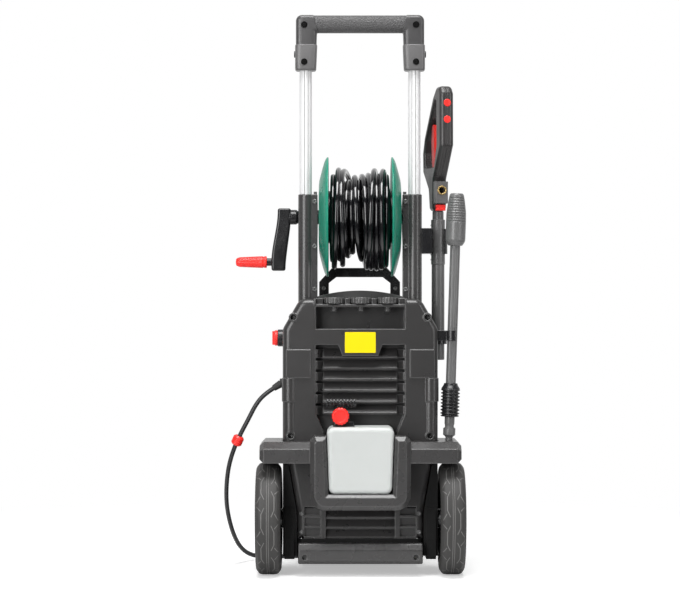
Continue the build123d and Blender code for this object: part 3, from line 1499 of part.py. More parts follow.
gun_outline = [
    (-14, GUN_NOSE_Z),
    (-14, GUN_BLOCK_TOP + 2),
    (-57, GUN_KINK_Z),
    (-56, GUN_TOP_Z - 12),
    (-46, GUN_TOP_Z),
    (-26, GUN_TOP_Z),
    (-6, GUN_TOP_Z - 16),
    (46, GUN_KINK_Z + 22),
    (58, GUN_KINK_Z - 8),
    (56, GUN_KINK_Z - 44),
    (22, GUN_BLOCK_TOP - 15),
    (15, GUN_NOSE_Z),
]
hand_opening = [
    (-29, GUN_KINK_Z + 4),
    (-28, GUN_TOP_Z - 26),
    (-20, GUN_TOP_Z - 22),
    (36, GUN_KINK_Z + 14),
    (43, GUN_KINK_Z - 8),
    (42, GUN_KINK_Z - 34),
    (30, GUN_BLOCK_TOP + 27),
    (-14, GUN_BLOCK_TOP + 27),
]
release_z = (GUN_NOSE_Z + 1, GUN_BLOCK_BOTTOM - 2)

for side in SIDES:
    with BuildPart() as gun_shell:
        prism(gun_plane(0), gun_outline, side * GUN_HALF_THICK, radius=GUN_BACK_ROUND + 1)
        across_gun = Axis(gun_point(0, 0), side * gun_right)
        fillet(gun_shell.faces().sort_by(across_gun)[-1].edges(), GUN_BACK_ROUND)
        chamfer(gun_shell.faces().sort_by(across_gun)[0].edges(), GUN_SEAM)
        prism(gun_plane(0), hand_opening, side * GUN_HALF_THICK * 1.1, radius=5, mode=Mode.SUBTRACT)
        fillet(gun_shell.faces().sort_by(across_gun)[-1].inner_wires()[0].edges(), 4)
        gun_block(
            (-30, 9 + FIT),
            sorted((0, side * (12 + FIT))),
            (GUN_BLOCK_BOTTOM - FIT, GUN_BLOCK_TOP + FIT),
            mode=Mode.SUBTRACT,
        )
        gun_block(
            (-30, -8.5),
            sorted((0, side * (9 + GAP))),
            (release_z[0] - GAP, release_z[1] + GAP),
            mode=Mode.SUBTRACT,
        )
        gun_block(
            (TRIGGER_PIVOT_U - 17, TRIGGER_PIVOT_U + 20),
            sorted((0, side * (TRIGGER_HALF + GAP))),
            (TRIGGER_PIVOT_Z - 9, GUN_BLOCK_TOP + 32),
            mode=Mode.SUBTRACT,
        )
        if side < 0:
            with BuildSketch(gun_plane(-TRIGGER_HALF - GAP - 1)):
                with Locations((TRIGGER_PIVOT_U, TRIGGER_PIVOT_Z)):
                    Circle(3)
            extrude(amount=2 * (TRIGGER_HALF + GAP) + 1)
    save(gun_shell.part, f"gun_shell_{hand(side)}")

with BuildPart() as gun_valve:
    gun_block((-24, 9), (-12, 12), (GUN_BLOCK_BOTTOM, GUN_BLOCK_TOP))
    fillet(gun_valve.edges().filter_by(Axis.Z), 1.5)
    inlet_plane = Plane(origin=gun_point(-25, GUN_INLET_Z), z_dir=gun_forward)
    with BuildSketch(inlet_plane):
        Circle(GUN_INLET_RADIUS)
    extrude(amount=21, mode=Mode.SUBTRACT)
save(gun_valve.part, "gun_valve")

with BuildPart() as gun_barrel:
    rod_z(GUN_X, GUN_Y, (GUN_BARREL_END, GUN_SLEEVE_BOTTOM + 1), GUN_BARREL_RADIUS)
    rod_z(GUN_X, GUN_Y, (GUN_SLEEVE_BOTTOM, GUN_SLEEVE_TOP), GUN_SLEEVE_RADIUS)
    fillet(gun_barrel.faces().sort_by(Axis.Z)[0].edges(), 1)
    rod_z(GUN_X, GUN_Y, (GUN_SLEEVE_TOP - 1, GUN_NOSE_Z), GUN_BARREL_RADIUS - 1.5)
    rod_z(GUN_X, GUN_Y, (GUN_BARREL_END - 1, GUN_BARREL_END + 30), GUN_BARREL_RADIUS - 3, mode=Mode.SUBTRACT)
save(gun_barrel.part, "gun_barrel")

with BuildPart() as gun_release:
    gun_block((-19, -11.5), (-9, 9), release_z)
    fillet(gun_release.faces().sort_by(Axis(gun_point(0, 0), gun_forward))[0].edges(), 1.5)
save(gun_release.part, "gun_release")

with BuildPart() as gun_trigger:
    prism(
        gun_plane(-TRIGGER_HALF),
        [
            (TRIGGER_PIVOT_U - 6, TRIGGER_PIVOT_Z - 5),
            (TRIGGER_PIVOT_U + 6, TRIGGER_PIVOT_Z - 5),
            (TRIGGER_PIVOT_U + 10, TRIGGER_PIVOT_Z + 24),
            (TRIGGER_PIVOT_U + 13, TRIGGER_PIVOT_Z + 56),
            (TRIGGER_PIVOT_U + 8, TRIGGER_PIVOT_Z + 84),
            (TRIGGER_PIVOT_U, TRIGGER_PIVOT_Z + 88),
            (TRIGGER_PIVOT_U - 3, TRIGGER_PIVOT_Z + 56),
            (TRIGGER_PIVOT_U - 7, TRIGGER_PIVOT_Z + 20),
        ],
        2 * TRIGGER_HALF,
        radius=3,
    )
    with BuildSketch(gun_plane(-TRIGGER_HALF - 1)):
        with Locations((TRIGGER_PIVOT_U, TRIGGER_PIVOT_Z)):
            Circle(3 + RUN)
    extrude(amount=2 * TRIGGER_HALF + 2, mode=Mode.SUBTRACT)
save(gun_trigger.part, "gun_trigger")

# ---------------------------------------------------------------- lance
lance_axis = Vector(sin(radians(LANCE_TILT)), 0, cos(radians(LANCE_TILT)))
lance_origin = Vector(LANCE_X, LANCE_Y, LANCE_FOOT_Z)
lance_top = HEAD_FOOT + 12


def lance_turned(points, mode=Mode.ADD):
    """Solid of revolution about the lance, from points (distance from its foot, radius)."""
    turned(points, tuple(lance_origin), tuple(lance_axis), mode)


with BuildPart() as lance_tube:
    lance_turned(
        [
            (0, 0),
            (0, 6.5),
            (16, 6.5),
            (16, 11),
            (31, 11),
            (31, 8),
            (35, 8),
            (35, LANCE_TUBE_RADIUS),
            (lance_top, LANCE_TUBE_RADIUS),
            (lance_top, 0),
        ]
    )
save(lance_tube.part, "lance_tube")

rib_pitch = (SLEEVE_LENGTH - 12) / SLEEVE_RIBS
sleeve_points = [(SLEEVE_FOOT, LANCE_TUBE_RADIUS), (SLEEVE_FOOT, SLEEVE_RADIUS - 2)]
for index in range(SLEEVE_RIBS):
    rib_start = SLEEVE_FOOT + 1 + index * rib_pitch
    sleeve_points += [
        (rib_start, SLEEVE_RADIUS),
        (rib_start + rib_pitch * 0.6, SLEEVE_RADIUS),
        (rib_start + rib_pitch * 0.7, SLEEVE_RADIUS - 2),
        (rib_start + rib_pitch * 0.95, SLEEVE_RADIUS - 2),
    ]
sleeve_points += [
    (SLEEVE_FOOT + SLEEVE_LENGTH - 10, SLEEVE_RADIUS),
    (SLEEVE_FOOT + SLEEVE_LENGTH, SLEEVE_RADIUS - 7),
    (SLEEVE_FOOT + SLEEVE_LENGTH, LANCE_TUBE_RADIUS),
]
with BuildPart() as bayonet_sleeve:
    lance_turned(sleeve_points)
save(bayonet_sleeve.part, "bayonet_sleeve")

with BuildPart() as spray_head:
    lance_turned(
        [
            (HEAD_FOOT, 0),
            (HEAD_FOOT, HEAD_RADIUS - 5),
            (HEAD_FOOT + 6, HEAD_RADIUS - 1),
            (HEAD_FOOT + 12, HEAD_RADIUS),
            (HEAD_FOOT + 55, HEAD_RADIUS),
            (HEAD_FOOT + HEAD_LENGTH - 5, HEAD_RADIUS - 5),
            (HEAD_FOOT + HEAD_LENGTH, HEAD_RADIUS - 7),
            (HEAD_FOOT + HEAD_LENGTH, 5),
            (HEAD_FOOT + HEAD_LENGTH - 12, 3),
            (HEAD_FOOT + HEAD_LENGTH - 12, 0),
        ]
    )
    lance_turned(
        [
            (HEAD_FOOT - 1, 0),
            (HEAD_FOOT - 1, LANCE_TUBE_RADIUS + RUN),
            (lance_top + GAP, LANCE_TUBE_RADIUS + RUN),
            (lance_top + GAP, 0),
        ],
        mode=Mode.SUBTRACT,
    )
save(spray_head.part, "spray_head")

# ---------------------------------------------------------------- clips that hold the gun and the lance
lance_clip_bottom = LANCE_CLIP_Z - LANCE_CLIP_HEIGHT / 2
lance_clip_top = LANCE_CLIP_Z + LANCE_CLIP_HEIGHT / 2
lance_clip_x = LANCE_X + (LANCE_CLIP_Z - LANCE_FOOT_Z) * tan(radians(LANCE_TILT))
with BuildPart() as tool_clips:
    block(
        (COLUMN_X + 10, GUN_X - GUN_SLEEVE_RADIUS),
        (COLUMN_Y - 4, GUN_Y + 8),
        (HOLDER_BOTTOM, HOLDER_TOP),
    )
    rod_z(GUN_X, GUN_Y, (HOLDER_BOTTOM, HOLDER_TOP), GUN_SLEEVE_RADIUS + 4.5)
    block(
        (GUN_X - HOLDER_MOUTH, GUN_X + HOLDER_MOUTH),
        (GUN_Y - 30, GUN_Y - 5),
        (HOLDER_BOTTOM - 1, HOLDER_TOP + 1),
        mode=Mode.SUBTRACT,
    )
    rod_z(GUN_X, GUN_Y, (HOLDER_BOTTOM - 1, HOLDER_TOP + 1), GUN_SLEEVE_RADIUS + GAP, mode=Mode.SUBTRACT)
    rod_z(COLUMN_X, COLUMN_Y, (HOLDER_BOTTOM - 1, HOLDER_TOP + 1), COLUMN_RADIUS, mode=Mode.SUBTRACT)
    block((FRONT_HALF, GUN_X), (GUN_Y - 10, GUN_Y + 10), BARREL_RING)
    rod_z(GUN_X, GUN_Y, BARREL_RING, GUN_BARREL_RADIUS + 4.5)
    rod_z(
        GUN_X,
        GUN_Y,
        (BARREL_RING[0] - 1, BARREL_RING[1] + 1),
        GUN_BARREL_RADIUS + GAP,
        mode=Mode.SUBTRACT,
    )
    block((BODY_HALF, lance_clip_x), (LANCE_Y - 7, LANCE_Y + 7), (lance_clip_bottom, lance_clip_top))
    rod_z(lance_clip_x, LANCE_Y, (lance_clip_bottom, lance_clip_top), LANCE_TUBE_RADIUS + 4)
    block(
        (lance_clip_x + 6, lance_clip_x + 30),
        (LANCE_Y - 20, LANCE_Y + 20),
        (lance_clip_bottom - 1, lance_clip_top + 1),
        mode=Mode.SUBTRACT,
    )
    lance_turned(
        [(150, 0), (150, LANCE_TUBE_RADIUS + GAP), (250, LANCE_TUBE_RADIUS + GAP), (250, 0)],
        mode=Mode.SUBTRACT,
    )
save(tool_clips.part, "tool_clips")
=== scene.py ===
"""Upright pressure washer: finishes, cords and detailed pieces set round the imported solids.

Metres. +X is to the right when the machine is seen from its handle side, +Y points to its front, +Z is up.
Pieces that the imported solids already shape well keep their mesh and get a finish; the others are replaced
by surfaces worked out here. Profiles of turned pieces and the turns of the hose are written in millimetres.
"""

import logging
import math
from collections.abc import Callable, Sequence
from dataclasses import dataclass, field
from enum import Enum
from typing import Self

import bpy
import numpy as np
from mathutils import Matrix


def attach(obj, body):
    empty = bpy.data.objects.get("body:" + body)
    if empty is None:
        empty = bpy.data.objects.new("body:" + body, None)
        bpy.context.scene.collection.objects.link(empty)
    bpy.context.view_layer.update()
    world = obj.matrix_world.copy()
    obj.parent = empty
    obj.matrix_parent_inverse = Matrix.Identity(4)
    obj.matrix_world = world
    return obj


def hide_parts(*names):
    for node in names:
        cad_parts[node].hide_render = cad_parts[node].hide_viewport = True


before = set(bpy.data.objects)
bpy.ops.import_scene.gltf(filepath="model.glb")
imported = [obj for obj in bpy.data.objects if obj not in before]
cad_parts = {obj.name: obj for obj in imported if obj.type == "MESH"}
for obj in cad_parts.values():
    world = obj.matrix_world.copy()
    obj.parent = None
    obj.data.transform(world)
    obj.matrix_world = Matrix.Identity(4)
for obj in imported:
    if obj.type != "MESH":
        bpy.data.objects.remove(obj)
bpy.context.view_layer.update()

LOG = logging.getLogger("washer")
MM = 0.001
MM_IN_METRE = 1000.0
TURN = 2 * math.pi
SIDES = ((-1, "left"), (1, "right"))
X_AXIS = (1.0, 0.0, 0.0)
Y_AXIS = (0.0, 1.0, 0.0)
Z_AXIS = (0.0, 0.0, 1.0)
REARWARD = (0.0, -1.0, 0.0)
UNIT_RANGE = (0.0, 1.0)
WHITE = (1.0, 1.0, 1.0, 1.0)
LEAST_RADIUS = 1e-5  # keeps the rings of a turned form open at its axis
Pair = tuple[float, float]
Point = tuple[float, float, float]
Corners = tuple[Pair, ...]
Array = np.ndarray
Relief = Callable[[Array, Array], Array]
Tree = bpy.types.NodeTree
Node = bpy.types.Node
Socket = bpy.types.NodeSocket
Thing = bpy.types.Object


# ------------ shader nodes
def fill(tree: Tree, node: Node, inputs: dict[str | int, object]) -> Node:
    """Fills inputs of a node.

    Args:
        tree: Tree that the node is in.
        node: The node.
        inputs: For each input a socket to link from, or the value that it gets.

    Returns:
        The same node.
    """
    for label, value in inputs.items():
        if isinstance(value, Socket):
            tree.links.new(value, node.inputs[label])
        else:
            node.inputs[label].default_value = value
    return node


def add_node(tree: Tree, kind: str, inputs: dict[str | int, object]) -> Node:
    """New node of this kind with its inputs filled."""
    return fill(tree, tree.nodes.new(kind), inputs)


def group_node(tree: Tree, group: Tree, inputs: dict[str | int, object]) -> Node:
    """New node of a shader group with its inputs filled."""
    node = tree.nodes.new("ShaderNodeGroup")
    node.node_tree = group
    return fill(tree, node, inputs)


def math_node(tree: Tree, operation: str, first: Socket, second: Socket) -> Socket:
    """Result of an operation on two numbers."""
    node = add_node(tree, "ShaderNodeMath", {0: first, 1: second})
    node.operation = operation
    return node.outputs["Value"]


def colour_mix(tree: Tree, factor: Socket, first: object, second: object) -> Socket:
    """Colour between a first one at factor 0 and a second one at 1."""
    node = tree.nodes.new("ShaderNodeMix")
    node.data_type = "RGBA"
    return fill(tree, node, {"Factor": factor, "A": first, "B": second}).outputs["Result"]


def shader_mix(tree: Tree, factor: Socket, first: Socket, second: Socket) -> Socket:
    """Shader between a first one at factor 0 and a second one at 1."""
    return add_node(tree, "ShaderNodeMixShader", {0: factor, 1: first, 2: second}).outputs["Shader"]


def noise_node(tree: Tree, place: Socket, scale: float | Socket, detail: float) -> Socket:
    """Noise at a place, with its scale per metre and its detail."""
    inputs = {"Vector": place, "Scale": scale, "Detail": detail}
    return add_node(tree, "ShaderNodeTexNoise", inputs).outputs["Fac"]


def range_node(tree: Tree, source: Socket, old: Pair, new: Pair = UNIT_RANGE) -> Socket:
    """Value carried from one range to another and clamped.

    Args:
        tree: Tree that the node goes into.
        source: Value to carry over.
        old: Range that it comes from.
        new: Range that it goes to.

    Returns:
        The socket with the result.
    """
    ranges = dict(zip(("From Min", "From Max", "To Min", "To Max"), (*old, *new)))
    return add_node(tree, "ShaderNodeMapRange", {"Value": source, **ranges}).outputs["Result"]


def bounced(tree: Tree, path: Node) -> Socket:
    """One for rays that something has mirrored or let through, zero for the others."""
    return math_node(tree, "MAXIMUM", path.outputs["Is Glossy Ray"], path.outputs["Is Transmission Ray"])


def cleared_tree(owner: bpy.types.Material | bpy.types.World) -> Tree:
    """Node tree of a material or world, emptied."""
    owner.use_nodes = True
    owner.node_tree.nodes.clear()
    return owner.node_tree


def new_group(name: str, label: str, value: float, outputs: dict[str, str]) -> Tree:
    """Empty shader group with its sockets.

    Args:
        name: Name of the group.
        label: Its number input.
        value: Default value of that input.
        outputs: Output sockets and their socket types.

    Returns:
        The group, with a node named Inputs and one named Outputs.
    """
    tree = bpy.data.node_groups.new(name, "ShaderNodeTree")
    socket = tree.interface.new_socket(name=label, in_out="INPUT", socket_type="NodeSocketFloat")
    socket.default_value = value
    for output, kind in outputs.items():
        tree.interface.new_socket(name=output, in_out="OUTPUT", socket_type=kind)
    tree.nodes.new("NodeGroupInput").name = "Inputs"
    tree.nodes.new("NodeGroupOutput").name = "Outputs"
    return tree


def grain_group() -> Tree:
    """Moulded grain: fine pebbles for relief, a cloudy shade and a patchy gloss.

    Returns:
        The group, with Height, Shade and Gloss.
    """
    existing = bpy.data.node_groups.get("moulded_grain")
    if existing is not None:
        return existing
    outputs = {label: "NodeSocketFloat" for label in ("Height", "Shade", "Gloss")}
    tree = new_group("moulded_grain", "Scale", 900.0, outputs)
    place = tree.nodes.new("ShaderNodeTexCoord").outputs["Object"]
    clouds, smears = noise_node(tree, place, 9.0, 4.0), noise_node(tree, place, 38.0, 5.0)
    contrast = (0.3, 0.7)
    fill(tree, tree.nodes["Outputs"], {
        "Height": noise_node(tree, place, tree.nodes["Inputs"].outputs["Scale"], 3.0),
        "Shade": range_node(tree, clouds, contrast),
        "Gloss": range_node(tree, smears, contrast),
    })
    return tree


def edge_group() -> Tree:
    """Softened edges: the normal averaged over a radius, and a mask of how far it leaves the flat one.

    Returns:
        The group, with Normal and Edge.
    """
    existing = bpy.data.node_groups.get("soft_edges")
    if existing is not None:
        return existing
    outputs = {"Normal": "NodeSocketVector", "Edge": "NodeSocketFloat"}
    tree = new_group("soft_edges", "Radius", MM, outputs)
    bevel = add_node(tree, "ShaderNodeBevel", {"Radius": tree.nodes["Inputs"].outputs["Radius"]})
    bevel.samples = 8
    flat = tree.nodes.new("ShaderNodeNewGeometry").outputs["Normal"]
    likeness = add_node(tree, "ShaderNodeVectorMath", {0: bevel.outputs["Normal"], 1: flat})
    likeness.operation = "DOT_PRODUCT"
    mask = range_node(tree, likeness.outputs["Value"], (0.99, 0.85))
    fill(tree, tree.nodes["Outputs"], {"Normal": bevel.outputs["Normal"], "Edge": mask})
    return tree


# ------------ finishes
class Pattern(Enum):
    """Relief that lies over the grain of a finish."""

    NONE = "none"
    BRUSHED = "brushed"
    PEBBLED = "pebbled"


@dataclass(frozen=True)
class Finish:
    """A surface finish: its colour, gloss, grain and edges, with the record's slot that it belongs to."""

    name: str
    slot: str
    colour: Point
    roughness: float = 0.42
    metallic: float = 0.0
    specular: float = 0.5
    tint: float = 1.0
    coat: float = 0.0
    translucent: float = 0.0
    mottle: float = 0.12
    gloss_spread: float = 0.07
    grain: float = 1400.0
    relief: float = 0.00006
    edge: float = 0.0012
    # how strongly and by how much edges go lighter in colour: wear together with a painted highlight along
    # the edges
    edge_wear_highlight: float = 0.25
    edge_wear_highlight_lift: float = 0.18
    pattern: Pattern = Pattern.NONE
    brush_scale: float = 1600.0
    brush_stretch: float = 0.015
    # attribute and colour of painted lines: a painted highlight in the tyre's tread grooves, painted shade in
    # the tube's grooves
    line: str = ""
    painted_line_colour: Point = (0.17, 0.167, 0.163)

    def material(self) -> bpy.types.Material:
        """The material of this finish, made once.

        Returns:
            A Principled shader over the moulded grain and the softened edges.
        """
        existing = bpy.data.materials.get(self.name)
        if existing is not None:
            return existing
        material = bpy.data.materials.new(self.name)
        tree = cleared_tree(material)
        grain = group_node(tree, grain_group(), {"Scale": self.grain})
        edges = group_node(tree, edge_group(), {"Radius": self.edge})
        spread = (self.roughness - self.gloss_spread, self.roughness + self.gloss_spread)
        shader = add_node(tree, "ShaderNodeBsdfPrincipled", {
            "Base Color": self.paint(tree, grain, edges),
            "Roughness": range_node(tree, grain.outputs["Gloss"], UNIT_RANGE, spread),
            "Metallic": self.metallic,
            "Specular IOR Level": self.specular,
            "Specular Tint": (self.tint, self.tint, self.tint, 1.0),
            "Coat Weight": self.coat,
            "Coat Roughness": 0.12,
            "Subsurface Weight": self.translucent,
            "Subsurface Scale": 0.02,
            "Subsurface Radius": (1.0, 1.0, 1.0),
            "Normal": self.carve(tree, grain, edges),
        })
        add_node(tree, "ShaderNodeOutputMaterial", {"Surface": shader.outputs["BSDF"]})
        return material

    def shade(self, factor: float) -> tuple[float, ...]:
        """The colour times a factor, kept within 1 and opaque."""
        return (*(min(1.0, part * factor) for part in self.colour), 1.0)

    def paint(self, tree: Tree, grain: Node, edges: Node) -> Socket:
        """Colour that is cloudy, lighter along edges as wear and as a painted highlight, and with grey
        painted lines where a line attribute says so: painted highlight in the tyre's grooves, painted shade
        in the tube's grooves.

        Args:
            tree: Tree of the material.
            grain: Its moulded grain.
            edges: Its softened edges.

        Returns:
            The socket with the colour.
        """
        low, high = self.shade(1 - self.mottle), self.shade(1 + self.mottle)
        cloudy = colour_mix(tree, grain.outputs["Shade"], low, high)
        # edges lighter in colour: part wear, part painted highlight
        edge_wear_highlight = range_node(tree, edges.outputs["Edge"], UNIT_RANGE, (0.0, self.edge_wear_highlight))
        rubbed_highlight = (*(part + (1 - part) * self.edge_wear_highlight_lift for part in self.colour), 1.0)
        colour = colour_mix(tree, edge_wear_highlight, cloudy, rubbed_highlight)
        # grey lines from an attribute: painted highlight on the tyres, painted shade on the tubes
        if self.line:
            lines = tree.nodes.new("ShaderNodeAttribute")
            lines.attribute_name = self.line
            colour = colour_mix(tree, lines.outputs["Fac"], colour, (*self.painted_line_colour, 1.0))
        return colour

    def carve(self, tree: Tree, grain: Node, edges: Node) -> Socket:
        """Normal from the softened edges and the relief of the grain or its pattern.

        Args:
            tree: Tree of the material.
            grain: Its moulded grain.
            edges: Its softened edges.

        Returns:
            The socket with the normal.
        """
        height = grain.outputs["Height"]
        if self.pattern is not Pattern.NONE:
            brushed = self.pattern is Pattern.BRUSHED
            mapping = add_node(tree, "ShaderNodeMapping", {
                "Vector": tree.nodes.new("ShaderNodeTexCoord").outputs["Object"],
                "Scale": (1.0, 1.0, self.brush_stretch if brushed else 1.0),
            })
            place = mapping.outputs["Vector"]
            if brushed:
                height = noise_node(tree, place, self.brush_scale, 2.0)
            else:
                cells = add_node(tree, "ShaderNodeTexVoronoi", {"Vector": place, "Scale": self.grain})
                height = cells.outputs["Distance"]
        normal = edges.outputs["Normal"]
        inputs = {"Strength": 1.0, "Distance": self.relief, "Height": height, "Normal": normal}
        return add_node(tree, "ShaderNodeBump", inputs).outputs["Normal"]


# The two dark greys take stronger lightened edges, as wear and as a painted highlight.
DARK_GREY = Finish(
    "dark_grey_moulding", "dark_grey_plastic", (0.040, 0.039, 0.039), roughness=0.28, specular=0.6,
    edge=0.003, edge_wear_highlight=0.35, mottle=0.05, gloss_spread=0.025,
)
BODY_GREY = Finish(
    "body_moulding", "dark_grey_plastic", (0.031, 0.030, 0.030), roughness=0.29, specular=0.55,
    edge=0.003, edge_wear_highlight=0.35, mottle=0.05, gloss_spread=0.02,
)
BLACK = Finish("black_moulding", "black_plastic", (0.011, 0.011, 0.012), roughness=0.25)
# Base tray painted near black and dull: painted shade of the dark space between the body and the wheels.
ARCH_SHADE_BLACK = Finish(
    "arch_painted_shade", "black_plastic", (0.004, 0.004, 0.004), roughness=0.55, specular=0.2,
    edge=0.0008, edge_wear_highlight=0.05,
)
GRIP_BLACK = Finish(
    "grip_moulding", "black_plastic", (0.064, 0.063, 0.064), roughness=0.5, specular=0.4,
    grain=380.0, relief=0.0010, pattern=Pattern.PEBBLED, mottle=0.05,
)
GRIP_PLAIN = Finish("grip_ends", "black_plastic", (0.047, 0.046, 0.047), roughness=0.34, relief=0.0001)
# Sleeves of the same black plastic as the ends, painted lighter: a painted highlight.
GRIP_SLEEVE_LIT = Finish("grip_sleeves_lit", "black_plastic", (0.098, 0.096, 0.097), roughness=0.38, relief=0.0001)
GUN_BLACK = Finish("gun_moulding", "black_plastic", (0.030, 0.028, 0.028), roughness=0.32, relief=0.0001)
GUN_GREY = Finish("valve_block", "grey_plastic", (0.092, 0.089, 0.089), roughness=0.34)
LANCE_GREY = Finish("lance_moulding", "black_plastic", (0.105, 0.105, 0.105), roughness=0.32)
# Tread grooves painted lighter in colour: a painted highlight.
TYRE = Finish(
    "tyre_rubber", "tyre", (0.038, 0.037, 0.036), roughness=0.56, specular=0.35, grain=600.0,
    line="tread_highlight_line",
)
RUBBER = Finish("soft_rubber", "rubber", (0.030, 0.030, 0.030), roughness=0.66, specular=0.35)
CORD_JACKET = Finish("cord_jacket", "cord", (0.022, 0.022, 0.023), edge=0.0002, edge_wear_highlight=0.0)
HOSE = Finish(
    "hose_jacket", "hose", (0.004, 0.004, 0.005), roughness=0.13, gloss_spread=0.04, coat=0.7,
    edge=0.0002, edge_wear_highlight=0.0, grain=120.0, relief=0.0003,
)
# Grooves painted darker in colour along the tubes: painted shade.
ALUMINIUM = Finish(
    "anodised_tube", "aluminium", (0.66, 0.66, 0.665), roughness=0.40, metallic=0.1, specular=0.15,
    tint=0.4, mottle=0.02, relief=0.00002, edge=0.0004, pattern=Pattern.BRUSHED, line="groove_shade_line",
)
STEEL = Finish("zinc_steel", "steel", (0.56, 0.56, 0.57), roughness=0.35, metallic=1.0, relief=0.00003)
CAST = Finish("cast_alloy", "cast", (0.48, 0.48, 0.49), roughness=0.55, metallic=1.0, relief=0.0003)
BRASS = Finish("turned_brass", "brass", (0.60, 0.43, 0.18), roughness=0.32, metallic=1.0, relief=0.00003)
# Screw heads lighter grey than their black, with strongly lightened rims: a painted highlight for the bright
# rings of their glints.
LIT_SCREW = Finish("screw_heads", "black_screw", (0.13, 0.13, 0.13), roughness=0.30, metallic=0.4, edge_wear_highlight=0.9)
# Grip screws painted near black with almost no gloss: painted shade, so that they read as dark sunk holes.
SCREW_SHADE_BLACK = Finish("sunk_screw", "black_screw", (0.003, 0.003, 0.003), roughness=0.6, specular=0.1, edge_wear_highlight=0.0)
GREEN = Finish(
    "green_moulding", "green_plastic", (0.001, 0.190, 0.118), roughness=0.32, specular=0.4, mottle=0.06
)
RED = Finish("red_moulding", "red_plastic", (0.82, 0.026, 0.020), roughness=0.34, specular=0.38, mottle=0.05)
YELLOW = Finish(
    "yellow_label", "label", (0.74, 0.575, 0.001), roughness=0.52, specular=0.15, mottle=0.03, edge=0.0003
)
TANK_WHITE = Finish(
    "milky_tank", "tank", (0.53, 0.553, 0.54), translucent=0.35, mottle=0.03, grain=500.0, edge=0.003,
    edge_wear_highlight=0.1,
)

FINISHED_NODES: dict[Finish, tuple[str, ...]] = {
    ARCH_SHADE_BLACK: ("base_tray",),
    BLACK: (
        "reel_bearings", "cross_bar", "switch_base", "tool_clips", "wheel_left_rim", "wheel_right_rim",
        "release_button_left", "release_button_right", "reel_drum", "crank_arm", "detergent_valve",
        "nozzle_tip_left", "nozzle_tip_middle", "nozzle_tip_right", "cooling_fan", "bayonet_sleeve",
    ),
    DARK_GREY: ("bumper_bar", "tank_cradle", "column_left", "column_right"),
    BODY_GREY: ("rear_cover", "front_cover", "nozzle_shelf"),
    GRIP_BLACK: ("grip_rear", "grip_front"),
    GUN_BLACK: ("gun_shell_left", "gun_shell_right"),
    GUN_GREY: ("gun_valve",),
    LANCE_GREY: ("gun_barrel", "lance_tube", "spray_head"),
    TYRE: ("wheel_left_tyre", "wheel_right_tyre"),
    RUBBER: ("front_foot", "cord_gland", "mains_plug"),
    CORD_JACKET: ("power_cord", "cord_coil"),
    HOSE: ("hose_winding",),
    ALUMINIUM: ("handle_tubes",),
    STEEL: ("axle", "pistons", "high_pressure_pipe", "rotor_shaft"),
    CAST: ("motor_housing", "pump_body"),
    BRASS: ("water_inlet",),
    LIT_SCREW: ("body_screws", "grip_screws"),
    GREEN: ("reel_flange_left", "reel_flange_right"),
    RED: ("cord_clip", "crank_grip", "tank_cap", "switch_knob", "gun_trigger", "gun_release"),
    YELLOW: ("label_plate",),
    TANK_WHITE: ("detergent_tank",),
}


# ------------ surfaces
def unit(vector: Sequence[float]) -> Array:
    """Vector of length one in the same direction."""
    array = np.asarray(vector, float)
    return array / np.linalg.norm(array)


def cross_frame(axis: Sequence[float]) -> tuple[Array, Array, Array]:
    """Right-handed frame round an axis.

    Args:
        axis: Direction of the axis.

    Returns:
        The axis A and two directions U and V across it, with U x V = A.
    """
    along = unit(axis)
    helper = np.array(Z_AXIS) if abs(along[2]) < 0.9 else np.array(X_AXIS)
    first = unit(np.cross(helper, along))
    return along, first, np.cross(along, first)


def rounded(corners: Array, radius: float, steps: int = 5) -> Array:
    """Polyline with its inner corners rounded by arcs of B(t) = (1-t)^2 P + 2t(1-t) C + t^2 Q.

    Args:
        corners: Corners C of the line.
        radius: Distance from a corner to P and Q, at most 0.45 of the shorter run beside it.
        steps: Points on each arc.

    Returns:
        Points of the rounded line.
    """
    line = [corners[0]]
    t = np.linspace(0.0, 1.0, steps)[:, None]
    for before, here, after in zip(corners, corners[1:], corners[2:]):
        run_in, run_out = here - before, after - here
        reach_in, reach_out = np.linalg.norm(run_in), np.linalg.norm(run_out)
        reach = min(radius, 0.45 * reach_in, 0.45 * reach_out)
        start = here - run_in / reach_in * reach
        end = here + run_out / reach_out * reach
        line.extend((1 - t) ** 2 * start + 2 * t * (1 - t) * here + t**2 * end)
    line.append(corners[-1])
    return np.array(line)


def resampled(points: Array, step: float) -> Array:
    """Line with extra points so that no two are further apart than the step.

    Args:
        points: Points of the line.
        step: Largest distance between two points.

    Returns:
        The old points with the extra ones between them.
    """
    pieces = [points[:1]]
    for start, end in zip(points, points[1:]):
        count = max(1, int(math.ceil(np.linalg.norm(end - start) / step)))
        pieces.append(start + (end - start) * np.linspace(0.0, 1.0, count + 1)[1:, None])
    return np.concatenate(pieces)


def profile(corners: Sequence[Pair], rounding: float, step: float = 0.0) -> Array:
    """Profile of a turned form, written in millimetres.

    Args:
        corners: Corners (a, r), with a along the axis and r the distance from it.
        rounding: Reach of the rounding at each corner.
        step: Largest distance between two points, or zero for no extra points.

    Returns:
        Points (a, r) in metres.
    """
    line = rounded(np.array(corners) / MM_IN_METRE, rounding / MM_IN_METRE)
    return resampled(line, step / MM_IN_METRE) if step else line


def band(value: Array, start: float, end: float, fade: float) -> Array:
    """One between start and end and zero outside, with straight flanks that lie inside."""
    return np.clip(np.minimum(value - start, end - value) / fade, 0.0, 1.0)


def turn_from(angle: Array, middle: float) -> Array:
    """Turn from the middle to an angle, between -pi and pi."""
    return np.angle(np.exp(1j * (angle - middle)))


